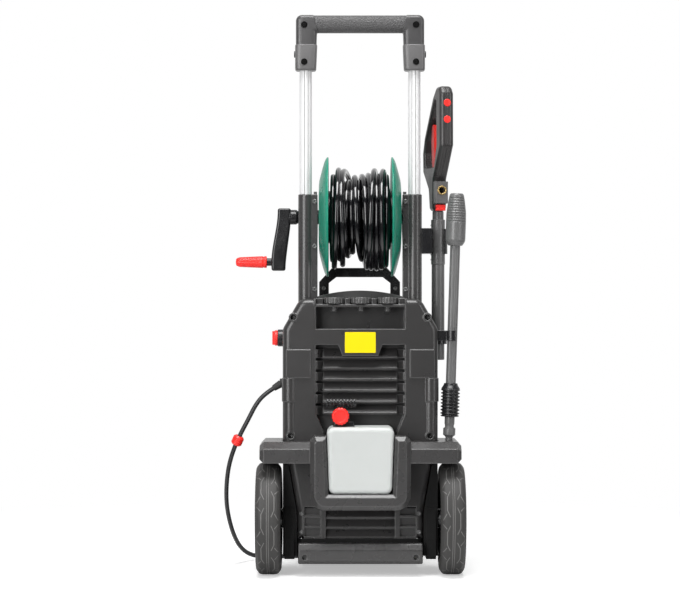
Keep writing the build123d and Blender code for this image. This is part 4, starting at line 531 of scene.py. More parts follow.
def round_grid(line: Array, steps: int) -> list[Array]:
    """Arrays of the distance a, radius r and angle t of a profile's points at all steps round its axis."""
    return np.broadcast_arrays(line[:, :1], line[:, 1:], np.linspace(0.0, TURN, steps, endpoint=False))


def turned(
    distance: Array, radius: Array, origin: Sequence[float], axis: Sequence[float]
) -> Array:
    """Rings of a turned form: P(s, t) = O + a(s) A + r(s, t) (cos t U + sin t V).

    Args:
        distance: Distances a along the axis, one row for each ring.
        radius: Radii r in the same shape.
        origin: Point O on the axis.
        axis: Direction A.

    Returns:
        Array of shape (rings, points on a ring, 3).
    """
    along, first, second = cross_frame(axis)
    t = np.linspace(0.0, TURN, distance.shape[1], endpoint=False)[:, None]
    outward = np.cos(t) * first + np.sin(t) * second
    return np.asarray(origin) + distance[..., None] * along + radius[..., None] * outward


def settled(name: str, data: bpy.types.ID, finish: Finish, body: str) -> Thing:
    """Object of a mesh or curve, with its finish, on its body.

    Args:
        name: Name of the piece.
        data: Its mesh or curve.
        finish: Its finish.
        body: The body that it rides on.

    Returns:
        The new object, which sits at the origin.
    """
    data.materials.append(finish.material())
    thing = placed(name, data)
    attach(thing, body)
    return thing


def placed(name: str, data: bpy.types.ID) -> Thing:
    """New object of this data, linked to the scene."""
    thing = bpy.data.objects.new(name, data)
    bpy.context.scene.collection.objects.link(thing)
    return thing


@dataclass
class Surface:
    """Closed patches that together make one mesh."""

    points: list[Array] = field(default_factory=list)
    faces: list[tuple[int, ...]] = field(default_factory=list)
    count: int = 0

    def add_tube(self, rings: Array, looped: bool = False) -> Self:
        """Adds a skin over rings of points, its two ends closed by a fan to each end ring's middle.

        The faces are turned round if the volume inside them, the sum of a.(b x c)/6, comes out negative.

        Args:
            rings: Array of shape (rings, points on a ring, 3).
            looped: Whether the last ring joins the first, so that there are no ends.

        Returns:
            This surface.
        """
        rows, columns = rings.shape[:2]
        row, column = np.meshgrid(np.arange(rows if looped else rows - 1), np.arange(columns), indexing="ij")
        below, right = (row + 1) % rows * columns, (column + 1) % columns
        row = row * columns
        quads = np.stack([row + column, row + right, below + right, below + column], axis=-1).reshape(-1, 4)
        faces = [tuple(quad) for quad in quads.tolist()]
        points = rings.reshape(-1, 3)
        if not looped:
            points = np.concatenate([points, [rings[0].mean(0), rings[-1].mean(0)]])
            first, last, start = rows * columns, rows * columns + 1, (rows - 1) * columns
            for i in range(columns):
                following = (i + 1) % columns
                faces += [(first, following, i), (last, start + i, start + following)]
        triangles = np.array([(face[0], *face[i : i + 2]) for face in faces for i in range(1, len(face) - 1)])
        a, b, c = (points[triangles[:, i]] for i in range(3))
        if np.einsum("ij,ij->", a, np.cross(b, c)) < 0:
            faces = [face[::-1] for face in faces]
        self.points.append(points)
        self.faces.extend(tuple(index + self.count for index in face) for face in faces)
        self.count += len(points)
        return self

    def lathe(
        self, line: Array, origin: Sequence[float], axis: Sequence[float], steps: int,
        relief: Relief | None = None, looped: bool = False,
    ) -> Self:
        """Adds a turned form whose radius is r(s) + h(a, t).

        Args:
            line: Points (a, r) along the form.
            origin: Point on the axis where a is zero.
            axis: Direction of the axis.
            steps: Points round the axis.
            relief: Height h over the profile, from the distance a and the angle t.
            looped: Whether the last point joins the first; otherwise both ends are closed.

        Returns:
            This surface.
        """
        distance, radius, angle = round_grid(line, steps)
        if relief is not None:
            radius = radius + relief(distance, angle)
        return self.add_tube(turned(distance, np.maximum(radius, LEAST_RADIUS), origin, axis), looped)

    def piece(self, name: str, finish: Finish, body: str, sharp: float = 40.0) -> Thing:
        """Makes the piece, with its finish, on its body.

        Args:
            name: Name of the piece.
            finish: Its finish.
            body: The body that it rides on.
            sharp: Angle in degrees above which an edge between two faces stays sharp.

        Returns:
            The mesh object.
        """
        mesh = bpy.data.meshes.new(name)
        mesh.from_pydata(np.concatenate(self.points).tolist(), [], self.faces)
        mesh.validate()
        mesh.shade_smooth()
        mesh.set_sharp_from_angle(angle=math.radians(sharp))
        return settled(name, mesh, finish, body)


def mark(piece: Thing, name: str, values: Array) -> None:
    """Gives the vertices of a piece an attribute that its finish paints lines from: painted highlight on the
    tyres, painted shade on the tubes.
    """
    piece.data.attributes.new(name, "FLOAT", "POINT").data.foreach_set("value", values)


# ------------ studio
@dataclass(frozen=True)
class Lamp:
    """A soft box: its name, place, size, power in watts and the point that it faces."""

    name: str
    place: Point
    size: Pair
    power: float
    target: Point = (0.0, -0.15, 0.5)

    def hang(self) -> None:
        """Puts the area light into the scene, turned to its target."""
        light = bpy.data.lights.new(self.name, "AREA")
        light.shape = "RECTANGLE"
        light.size, light.size_y = self.size
        light.energy = self.power
        lamp = placed(self.name, light)
        lamp.location = self.place
        x, y, z = np.asarray(self.target) - np.asarray(self.place)
        pitch, yaw = math.atan2(z, math.hypot(x, y)), math.atan2(y, x) - math.pi / 2
        lamp.rotation_euler = (math.pi / 2 + pitch, 0.0, yaw)


@dataclass
class Studio:
    """Pale floor, white surroundings, soft boxes and the camera."""

    camera_place: Point = (-0.0363, -4.2, 0.500)
    lens: float = 118.3
    floor_half: float = 8.0
    floor_shade: float = 0.80
    ambient: float = 0.15
    room: float = 0.10
    lift: float = 0.43
    # from where to where the backdrop's brightness rises, over the Y of a direction
    backdrop_rise: Pair = (-0.2, 0.6)
    # distances over which the floor goes over to white, and the Y over which its mirrored glow rises
    floor_fade: Pair = (0.5, 1.3)
    floor_rise: Pair = (-0.3, 1.2)
    lamps: tuple[Lamp, ...] = (
        Lamp("key_box", (-1.35, -2.6, 1.15), (1.3, 2.3), 62.0),
        Lamp("fill_box", (2.2, -1.9, 1.1), (0.5, 2.1), 18.0),
        Lamp("top_box", (0.0, -0.9, 2.8), (1.8, 1.4), 84.0),
    )

    def build(self) -> None:
        """Sets the view transform, camera, lamps, world and floor."""
        scene = bpy.context.scene
        scene.view_settings.view_transform = "Standard"
        camera = bpy.data.cameras.new("camera")
        camera.lens = self.lens
        camera.sensor_width = 36.0
        camera.clip_end = 40.0
        scene.camera = placed("camera", camera)
        scene.camera.location = self.camera_place
        scene.camera.rotation_euler = (math.pi / 2, 0.0, 0.0)
        for lamp in self.lamps:
            lamp.hang()
        scene.world = bpy.data.worlds.new("surroundings")
        self.light_world(cleared_tree(scene.world))
        self.lay_floor()

    def light_world(self, tree: Tree) -> None:
        """White backdrop to the eye and in reflections, dim room in front of it, softer as light.

        Args:
            tree: Empty tree of the world.
        """
        path = tree.nodes.new("ShaderNodeLightPath")
        direction = add_node(tree, "ShaderNodeSeparateXYZ", {
            "Vector": tree.nodes.new("ShaderNodeTexCoord").outputs["Generated"],
        })
        strength = range_node(tree, direction.outputs["Y"], self.backdrop_rise, (self.room, 1.0))
        kinds = {"Color": WHITE, "Strength": self.ambient}, {"Strength": strength}, {"Color": WHITE}
        soft, backdrop, white = (
            add_node(tree, "ShaderNodeBackground", inputs).outputs["Background"] for inputs in kinds
        )
        gloss = shader_mix(tree, bounced(tree, path), soft, backdrop)
        mixed = shader_mix(tree, path.outputs["Is Camera Ray"], gloss, white)
        add_node(tree, "ShaderNodeOutputWorld", {"Surface": mixed})

    def lay_floor(self) -> None:
        """Pale floor that keeps the shadow near the machine and goes over to plain white further out."""
        half = self.floor_half
        mesh = bpy.data.meshes.new("floor")
        corners = [(-half, -half, 0), (half, -half, 0), (half, half, 0), (-half, half, 0)]
        mesh.from_pydata(corners, [], [(0, 1, 2, 3)])
        material = bpy.data.materials.new("pale_floor")
        self.dress_floor(cleared_tree(material))
        mesh.materials.append(material)
        placed("floor", mesh)

    def dress_floor(self, tree: Tree) -> None:
        """Matt and a little lifted to the eye near the machine; a white glow to eye and reflections far out.

        Args:
            tree: Empty tree of the floor's material.
        """
        path = tree.nodes.new("ShaderNodeLightPath")
        camera_ray = path.outputs["Is Camera Ray"]
        grey = (self.floor_shade, self.floor_shade, self.floor_shade, 1.0)
        matt = add_node(tree, "ShaderNodeBsdfDiffuse", {"Color": grey}).outputs["BSDF"]
        lift = add_node(tree, "ShaderNodeEmission", {"Strength": self.lift}).outputs["Emission"]
        lifted = add_node(tree, "ShaderNodeAddShader", {0: matt, 1: lift}).outputs["Shader"]
        near = shader_mix(tree, camera_ray, matt, lifted)
        place = tree.nodes.new("ShaderNodeTexCoord").outputs["Object"]
        length = add_node(tree, "ShaderNodeVectorMath", {0: place})
        length.operation = "LENGTH"
        distance = range_node(tree, length.outputs["Value"], self.floor_fade)
        seen = math_node(tree, "MAXIMUM", bounced(tree, path), camera_ray)
        far = math_node(tree, "MULTIPLY", distance, seen)
        forward = add_node(tree, "ShaderNodeSeparateXYZ", {"Vector": place}).outputs["Y"]
        brightness = range_node(tree, forward, self.floor_rise, (self.room, 1.0))
        strength = math_node(tree, "MAXIMUM", brightness, camera_ray)
        glow = add_node(tree, "ShaderNodeEmission", {"Strength": strength}).outputs["Emission"]
        add_node(tree, "ShaderNodeOutputMaterial", {"Surface": shader_mix(tree, far, near, glow)})


# ------------ cords
def nurbs_line(name: str, points: Sequence[Point], radius: float, finish: Finish, body: str) -> Thing:
    """Round flexible line along a NURBS spline.

    Args:
        name: Name of the piece.
        points: Control points of the spline.
        radius: Radius of the line.
        finish: Its finish.
        body: The body that it rides on.

    Returns:
        The curve object.
    """
    curve = bpy.data.curves.new(name, "CURVE")
    curve.dimensions = "3D"
    curve.bevel_depth = radius
    curve.bevel_resolution = 4
    curve.use_fill_caps = True
    curve.resolution_u = 5
    spline = curve.splines.new("NURBS")
    spline.points.add(len(points) - 1)
    spline.points.foreach_set("co", np.c_[np.asarray(points, float), np.ones(len(points))].ravel())
    spline.order_u = 3
    spline.use_endpoint_u = True
    return settled(name, curve, finish, body)


@dataclass
class MainsCord:
    """Mains cord: out of its gland, down beside the left wheel, round to a coil with the plug beside it."""

    radius: float = 0.004
    length: float = 4.9
    coil_centre: Pair = (-0.045, 0.118)
    coil_start: float = math.radians(-112)
    row_height: float = 0.0069
    floor_gap: float = 0.0046
    points_per_turn: int = 16
    ease_from: float = 0.7
    # radii of the turns, row over row
    rows: tuple[tuple[float, ...], ...] = ((0.060, 0.052, 0.044, 0.036), (0.040, 0.048, 0.056)) * 2
    route: tuple[Point, ...] = (
        (-0.15626, -0.165, 0.33346), (-0.174, -0.165, 0.322), (-0.189, -0.165, 0.303),
        (-0.201, -0.164, 0.279), (-0.215, -0.162, 0.253), (-0.228, -0.158, 0.225), (-0.238, -0.150, 0.193),
        (-0.243, -0.136, 0.157), (-0.244, -0.114, 0.120), (-0.240, -0.084, 0.086), (-0.233, -0.048, 0.054),
        (-0.222, -0.010, 0.027), (-0.204, 0.023, 0.010), (-0.178, 0.046, 0.0048), (-0.146, 0.058, 0.0045),
        (-0.110, 0.061, 0.0045), (-0.070, 0.061, 0.0060),
    )
    tail: tuple[Point, ...] = ((-0.022, 0.0595, 0.023), (-0.008, 0.060, 0.020), (0.008, 0.060, 0.019))

    def coil(self) -> list[Point]:
        """Control points of the coil: C + r (cos t, sin t), row over row, easing from one turn to the next.

        Returns:
            Points from the first turn to just past the last one.
        """
        heights = [self.floor_gap + self.row_height * row for row in range(len(self.rows))]
        turns = [(radius, height) for height, radii in zip(heights, self.rows) for radius in radii]
        table = np.array(turns + [turns[-1]])
        steps = np.arange(len(turns) * self.points_per_turn + 2) / self.points_per_turn
        whole = np.minimum(steps.astype(int), len(turns) - 1)
        ease = np.clip((steps - whole - self.ease_from) / (1 - self.ease_from), 0.0, 1.0)[:, None]
        radius, height = (table[whole] + (table[whole + 1] - table[whole]) * ease).T
        angle = self.coil_start + TURN * steps
        x, y = self.coil_centre[0] + radius * np.cos(angle), self.coil_centre[1] + radius * np.sin(angle)
        return [tuple(point) for point in np.stack([x, y, height], axis=1)]

    def build(self) -> list[Thing]:
        """Lays the cord from its gland to its plug.

        Returns:
            The cord.
        """
        points = [*self.route, *self.coil(), *self.tail]
        line = nurbs_line("mains_cord", points, self.radius, CORD_JACKET, "machine")
        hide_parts("power_cord", "cord_coil")
        return [line]


@dataclass
class HoseWinding:
    """High-pressure hose wound untidily on the reel."""

    radius: float = 0.005
    axis: Pair = (-0.115, 0.644)
    half_width: float = 0.0515
    points_per_turn: int = 18
    # each turn in mm: place across the reel, radius, sag at the bottom and sideways swing, then its phase
    turns: tuple[tuple[float, float, float, float, float], ...] = (
        (-50, 54, 0, 1, 0), (-39, 54, 0, 1, 0), (-28, 54, 0, 2, 1), (-16, 54, 0, 2, 1), (-4, 54, 0, 2, 2),
        (8, 54, 0, 2, 2), (19, 54, 0, 2, 3), (30, 54, 0, 1, 3), (41, 54, 0, 1, 4), (51, 54, 0, 1, 4),
        (47, 64, 6, 1, 5), (36, 65, 8, 1, 5), (25, 66, 8, 2, 4), (13, 66, 6, 3, 3), (1, 65, 0, 5, 2),
        (-12, 65, 0, 4, 2), (-24, 65, 0, 3, 1), (-35, 65, 2, 2, 1), (-46, 65, 3, 1, 0),
        (-50, 77, 3, 1, 0), (-39, 76, 3, 2, 2), (-29, 73, -2, 3, 3), (-2, 74, 2, 6, 2), (8, 76, 14, 3, 4),
        (18, 78, 17, 2, 4), (28, 78, 18, 2, 5), (38, 77, 18, 1, 0), (49, 75, 14, 1, 1),
        (43, 87, 6, 5, 2), (22, 86, 9, 4, 1), (-33, 85, 2, 4, 3), (-43, 88, 4, 3, 0), (-51, 91, 4, 0, 0),
    )
    nut_flutes: int = 12
    nut_flute_depth: float = 0.0006
    nut_flute_end: float = 0.015
    nut_profile: Corners = (
        (-14, 5.2), (-14, 6.4), (-2, 6.8), (0, 9.2), (16, 9.2), (17.5, 8.5), (17.5, 4.2), (10, 3), (10, 0),
    )

    def line(self) -> Array:
        """Control points C + r(t) (0, cos t, sin t) + x(t) X of the winding.

        Returns:
            The points, where r grows by the sag where the turn hangs and x swings. The ease from one turn
            to the next has its middle at the front, where the line also ends.
        """
        table = np.array(self.turns) * (MM, MM, MM, MM, 1.0)
        index = 0.5 + np.arange((len(table) - 2) * self.points_per_turn + 1) / self.points_per_turn
        whole = np.minimum(index.astype(int), len(table) - 2)
        part = (index - whole)[:, None]
        ease = part * part * (3 - 2 * part)
        place, radius, sag, swing, phase = (table[whole] * (1 - ease) + table[whole + 1] * ease).T
        angle = TURN * index + math.pi
        radius = radius + sag * np.maximum(0.0, -np.sin(angle)) ** 2
        across = np.clip(place + swing * np.sin(angle + phase), -self.half_width, self.half_width)
        y, z = self.axis[0] + radius * np.cos(angle), self.axis[1] + radius * np.sin(angle)
        return np.stack([across, y, z], axis=1)

    def flutes(self, distance: Array, angle: Array) -> Array:
        """Flutes round the nut, where cos n t is above 0.4."""
        run = np.clip((distance - MM) / MM, 0, 1) * (distance < self.nut_flute_end)
        return -self.nut_flute_depth * run * (np.cos(self.nut_flutes * angle) > 0.4)

    def build(self) -> list[Thing]:
        """Winds the hose on the reel and puts the union nut on its free end.

        Returns:
            The hose and the nut.
        """
        points = self.line()
        hose = nurbs_line("reel_hose", [tuple(point) for point in points], self.radius, HOSE, "reel")
        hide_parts("hose_winding")
        end, along = points[-1], unit(points[-1] - points[-2])
        nut = Surface().lathe(profile(self.nut_profile, 1.2, 1.0), end, along, 96, self.flutes)
        fitting = nut.piece("hose_fitting", BRASS, "reel", sharp=50.0)
        return [hose, fitting]


# ------------ wheels
@dataclass
class Tyres:
    """Two tyres with a double centre line and zigzag grooves on both sides of it."""

    axle: Pair = (-0.180, 0.100)
    radius: float = 0.100
    outer_x: float = 0.1865
    width: float = 0.045
    inner_radius: float = 0.0742
    shoulder: float = 0.009
    centre_line: float = 0.0016
    centre_thinning: float = 1.3
    groove_depth: float = 0.0006
    groove_half: float = 0.0006
    blocks: int = 10
    steps: int = 760
    # grooves of a block: start and end along it as shares, then distance from the middle at both
    grooves: tuple[tuple[float, float, float, float], ...] = (
        (0.06, 0.24, 0.0065, 0.0115), (0.24, 0.62, 0.0115, 0.0115), (0.62, 0.80, 0.0115, 0.0065),
        (0.72, 0.90, 0.0125, 0.0190), (0.02, 0.14, 0.0190, 0.0125),
    )

    def relief(self, distance: Array, angle: Array) -> Array:
        """Depth of the tread grooves: -d exp(-(e/w)^4), with e the distance from the nearest groove line.

        Args:
            distance: Distance across the tyre from its inner side.
            angle: Angle round the axle.

        Returns:
            Height over the plain tyre, zero or negative.
        """
        across = distance - self.width / 2
        arc = angle / TURN * self.blocks
        length = TURN * self.radius / self.blocks
        lines = [np.abs(np.abs(across) - self.centre_line) * self.centre_thinning]
        for side, shift in ((-1, 0.0), (1, 0.5)):
            place = np.mod(arc + shift, 1.0)
            for start, end, near, far in self.grooves:
                t = np.clip((place - start) / (end - start), 0.0, 1.0)
                slope = (far - near) / ((end - start) * length)
                gap_along = (place - (start + (end - start) * t)) * length
                gap_across = (side * across - (near + (far - near) * t)) / math.hypot(1.0, slope)
                lines.append(np.hypot(gap_along, gap_across))
        return -self.groove_depth * np.exp(-((np.minimum.reduce(lines) / self.groove_half) ** 4))

    def outline(self) -> Array:
        """Closed section (a, r): inner wall, crown and outer wall, then back along the bore.

        Returns:
            Points of the section, the last two of them in the bore.
        """
        top, edge, width, foot = self.radius, self.shoulder, self.width, self.inner_radius + 0.004
        half = [(0.0, foot), (0.0, top - edge), (0.006, top - 0.001), (0.012, top)]
        crown = rounded(np.array(half + [(width - a, r) for a, r in reversed(half)]), 0.003)
        bore = [(width - 0.0005, self.inner_radius), (0.0005, self.inner_radius)]
        return np.concatenate([resampled(crown, 0.0009), bore])

    def build(self) -> list[Thing]:
        """Makes both tyres.

        Returns:
            The left and the right tyre.
        """
        made = []
        distance, radius, angle = round_grid(self.outline(), self.steps)
        crown = np.clip((radius - (self.radius - self.shoulder)) / self.shoulder, 0.0, 1.0)
        relief = self.relief(distance, angle) * crown
        for side, word in SIDES:
            origin = (side * (self.outer_x - self.width), *self.axle)
            rings = turned(side * distance, radius + relief, origin, X_AXIS)
            surface = Surface().add_tube(rings, looped=True)
            tyre = surface.piece(f"tyre_{word}", TYRE, f"wheel_{word}", sharp=60.0)
            # grooves painted lighter in colour, a painted highlight
            mark(tyre, "tread_highlight_line", -relief.ravel() / self.groove_depth)
            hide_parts(f"wheel_{word}_tyre")
            made.append(tyre)
        return made


# ------------ handle and reel
@dataclass
class Handle:
    """Drawn aluminium tubes of the telescopic handle, each with two narrow grooves to the rear."""

    x: float = 0.0985
    y: float = -0.148
    radius: float = 0.011
    bottom: float = 0.566
    top: float = 0.962
    groove: float = 0.0005
    groove_turns: Pair = (-0.20, 0.445)
    groove_width: float = 0.06

    def relief(self, distance: Array, angle: Array) -> Array:
        """Grooves along the tube: -g exp(-((t - t0) / w)^4) at each t0, from the rear towards the middle."""
        turns = np.array([turn_from(angle, middle) for middle in self.groove_turns])
        return 0.0 * distance - self.groove * np.exp(-((turns / self.groove_width) ** 4)).sum(0)

    def build(self) -> list[Thing]:
        """Makes both tubes as one piece.

        Returns:
            The piece.
        """
        surface = Surface()
        line = np.array([[0.0, self.radius], [self.top - self.bottom, self.radius]])
        for side, _ in SIDES:
            origin = (side * self.x, self.y, self.bottom)
            surface.lathe(line, origin, Z_AXIS, 240, lambda a, t, turn=-side: self.relief(a, turn * t))
        tubes = surface.piece("drawn_tubes", ALUMINIUM, "handle", sharp=25.0)
        x, y, z = np.concatenate(surface.points).T
        angle = np.arctan2(x - np.sign(x) * self.x, self.y - y)
        # grooves painted darker in colour: painted shade
        mark(tubes, "groove_shade_line", -self.relief(z, -np.sign(x) * angle) / self.groove)
        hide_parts("handle_tubes")
        return [tubes]


@dataclass
class Grip:
    """Moulded grip: a pebbled bar between two smooth ends, each with a thicker sleeve round its leg."""

    y: float = -0.148
    bottom: float = 0.908
    top: float = 1.009
    step: float = 0.955
    outer: float = 0.117
    inner: float = 0.078
    bar: float = 0.033
    bar_half: float = 0.088
    depth: float = 0.0175
    corner: float = 0.011
    screw_x: float = 0.101
    # heights of the sunk screws, and how far they stand out past the bar
    screw_seats: Corners = ((0.990, 0.0), (0.923, 0.0012))
    screw_profile: Corners = (
        (-4, 0), (-4, 5.8), (1.2, 5.8), (1.4, 5.4), (1, 4.9), (0.2, 4.7), (0.2, 4.2), (0.8, 3.6),
        (0.9, 1.2), (0.2, 0.9), (0.2, 0),
    )

    def skin(self, stations: Array, depth: float, power: float) -> Surface:
        """Rings between an inner and an outer rail: P(s, t) = M + |cos t|^(2/n) k H + |sin t|^(2/n) k D Y.

        Args:
            stations: For each ring x and z of its inner point, x and z of its outer point, and scale k.
            depth: Half depth D.
            power: Exponent n.

        Returns:
            The skin, where M is the middle of the two points and H half the way between them.
        """
        t = np.linspace(0.0, TURN, 64, endpoint=False)
        across, deep = (np.sign(wave) * np.abs(wave) ** (2 / power) for wave in (np.cos(t), np.sin(t)))
        start, end = (np.insert(stations[:, i : i + 2], 1, self.y, axis=1)[:, None] for i in (0, 2))
        reach = across[:, None] * (end - start) / 2 + deep[:, None] * depth * np.array(Y_AXIS)
        return Surface().add_tube((start + end) / 2 + reach * stations[:, 4, None, None])

    def bar_stations(self) -> Array:
        """Stations from one end of the bar to the other."""
        under, roof = self.top - self.bar + 0.0006, self.top - 0.0006
        return np.array([(x, under, x, roof, 1.0) for x in np.linspace(-self.bar_half, self.bar_half, 60)])

    def end_stations(self) -> Array:
        """Stations of the right end: up its leg, round the outer corner and in to the bar.

        Returns:
            One row for each ring.
        """
        under, side, roof, corner = self.top - self.bar, self.outer - 0.0008, self.top - 0.0003, self.corner
        low = self.step - 0.004
        rows = [(self.inner + 0.0008, low, side, low, 1.0), (self.inner, under - MM, side, under, 1.0)]
        for angle in np.linspace(0.0, math.pi / 2, 9):
            x, z = side - corner * (1 - math.cos(angle)), roof - corner * (1 - math.sin(angle))
            rows.append((self.inner, under, x, z, 1.0))
        for inset, x, scale in (
            (0.0002, 0.0920, 1.0), (0.0006, 0.0845, 1.0), (0.0006, 0.0845, 0.97), (0.0012, 0.0839, 0.93),
        ):
            rows.append((self.inner - inset, under, x, roof, scale))
        return np.array(rows)

    def sleeve_stations(self) -> Array:
        """Stations of the right sleeve, drawn in at both ends and narrower on its inner side at the foot.

        Returns:
            One row for each ring.
        """
        levels = ((0.0, 0.90), (0.0008, 0.96), (0.0022, 0.99), (0.004, 1.0))
        run = [(self.bottom + rise, scale) for rise, scale in levels]
        run += [(self.step - rise / 2, scale) for rise, scale in reversed(levels)]
        lean = 0.002 / (self.step - self.bottom)
        inner, outer = self.inner - 0.0006, self.outer + 0.0006
        return np.array([(inner + lean * (self.step - z), z, outer, z, scale) for z, scale in run])

    def build(self) -> list[Thing]:
        """Makes the bar, the two ends, the two sleeves and the screws.

        Returns:
            The six pieces.
        """
        made = [self.skin(self.bar_stations(), self.depth - MM, 2.5).piece("grip_bar", GRIP_BLACK, "handle")]
        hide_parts("grip_rear", "grip_front")
        kinds = (
            ("grip_end", GRIP_PLAIN, self.end_stations(), self.depth),
            ("grip_sleeve", GRIP_SLEEVE_LIT, self.sleeve_stations(), self.depth + 0.0012),
        )
        for side, word in SIDES:
            for kind, finish, stations, depth in kinds:
                skin = self.skin(stations * (side, 1, side, 1, 1), depth, 4.5)
                made.append(skin.piece(f"{kind}_{word}", finish, "handle"))
        heads = Surface()
        for side, _ in SIDES:
            for z, proud in self.screw_seats:
                origin = (side * self.screw_x, self.y - self.depth - proud, z)
                heads.lathe(profile(self.screw_profile, 0.3), origin, REARWARD, 32)
        # the screws take the near-black finish: painted shade of sunk holes
        made.append(heads.piece("sunk_screws", SCREW_SHADE_BLACK, "handle", sharp=50.0))
        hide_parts("grip_screws")
        return made


@dataclass
class Reel:
    """Dished flanges with rolled rims."""

    axis: Pair = (-0.115, 0.644)
    flange: Corners = (
        (72.2, 9), (72.2, 49), (69, 64), (62.5, 94), (57, 107), (57.5, 109.5), (60, 109.4), (63.5, 104),
        (67.5, 92), (74, 67), (75, 56), (75, 9),
    )

    def build(self) -> list[Thing]:
        """Makes both flanges.

        Returns:
            The left and the right flange.
        """
        made = []
        for side, word in SIDES:
            line = profile(self.flange, 6, 3) * (side, 1)
            surface = Surface().lathe(line, (0.0, *self.axis), X_AXIS, 144, looped=True)
            made.append(surface.piece(f"flange_{word}", GREEN, "reel", sharp=50.0))
            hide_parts(f"reel_flange_{word}")
        return made


# ------------ gun and lance
@dataclass
class Lance:
    """Fluted tube, ribbed bayonet sleeve and spray head of the lance, measured from the lance's foot."""

    foot: Point = (0.1592, -0.185, 0.2325)
    tilt: float = math.radians(1.84)
    flutes: int = 14
    flute_depth: float = 0.0005
    flute_run: Pair = (0.113, 0.356)
    head_foot: float = 0.358
    head_run: Pair = (0.040, 0.088)
    head_pitch: float = 0.0046
    head_depth: float = 0.0011
    sleeve_foot: float = 0.051
    sleeve_run: Pair = (0.002, 0.050)
    sleeve_pitch: float = 0.006
    sleeve_depth: float = 0.0028
    strip_turn: float = math.radians(200)
    tube: Corners = (
        (0, 0), (0, 6.2), (2, 6.5), (14, 6.5), (16, 8), (18, 11), (30, 11), (32, 8), (36, 8.2), (38, 9),
        (369.5, 9), (369.5, 0),
    )
    sleeve: Corners = (
        (51, 9.4), (51, 15.5), (53, 17), (101, 17), (108, 12.5), (111, 12.2), (111, 9.4),
    )
    head: Corners = (
        (358, 9.5), (358, 12.5), (364, 16.5), (368, 17.8), (398, 18), (418, 17.6), (438, 15), (449, 12.8),
        (452, 11), (452, 5), (440, 3), (440, 0),
    )

    def tube_relief(self, distance: Array, angle: Array) -> Array:
        """Flutes -d |cos(n t / 2)| on the plain run of the tube."""
        run = band(distance, *self.flute_run, 0.004)
        return -self.flute_depth * run * np.abs(np.cos(self.flutes * angle / 2))

    def head_relief(self, distance: Array, angle: Array) -> Array:
        """Fine cross ribs in two bands of the upper half, where |cos t| is large.

        Args:
            distance: Distance from the foot of the lance.
            angle: Angle round the lance.

        Returns:
            Height over the plain head, zero or negative.
        """
        along = distance - self.head_foot
        rows = 0.5 - 0.5 * np.cos(TURN * along / self.head_pitch)
        sides = np.clip((np.abs(np.cos(angle)) - 0.45) * 6, 0, 1)
        return -self.head_depth * band(along, *self.head_run, 0.002) * sides * rows

    def sleeve_relief(self, distance: Array, angle: Array) -> Array:
        """Grooves between the ribs of the sleeve, none along a smooth strip on one side.

        Args:
            distance: Distance from the foot of the lance.
            angle: Angle round the lance.

        Returns:
            Height over the ribs, zero or negative.
        """
        along = distance - self.sleeve_foot
        wave = np.clip(np.cos(TURN * along / self.sleeve_pitch) * 2.2, -1, 1) * 0.5 - 0.5
        strip = np.clip((np.abs(turn_from(angle, self.strip_turn)) - 0.30) / 0.05, 0, 1)
        return self.sleeve_depth * band(along, *self.sleeve_run, MM) * strip * wave

    def build(self) -> list[Thing]:
        """Makes the three pieces of the lance.

        Returns:
            The tube, the sleeve and the head.
        """
        axis = (math.sin(self.tilt), 0.0, math.cos(self.tilt))
        made = []
        tube, sleeve = profile(self.tube, 1, 6), profile(self.sleeve, 1.2, 0.6)
        head = profile(self.head, 2.5, 0.7)
        for name, node, finish, body, line, steps, relief in (
            ("fluted_tube", "lance_tube", LANCE_GREY, "lance", tube, 112, self.tube_relief),
            ("ribbed_sleeve", "bayonet_sleeve", BLACK, "lance", sleeve, 120, self.sleeve_relief),
            ("ribbed_head", "spray_head", LANCE_GREY, "spray_head", head, 120, self.head_relief),
        ):
            surface = Surface().lathe(line, self.foot, axis, steps, relief)
            made.append(surface.piece(name, finish, body))
            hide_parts(node)
        return made


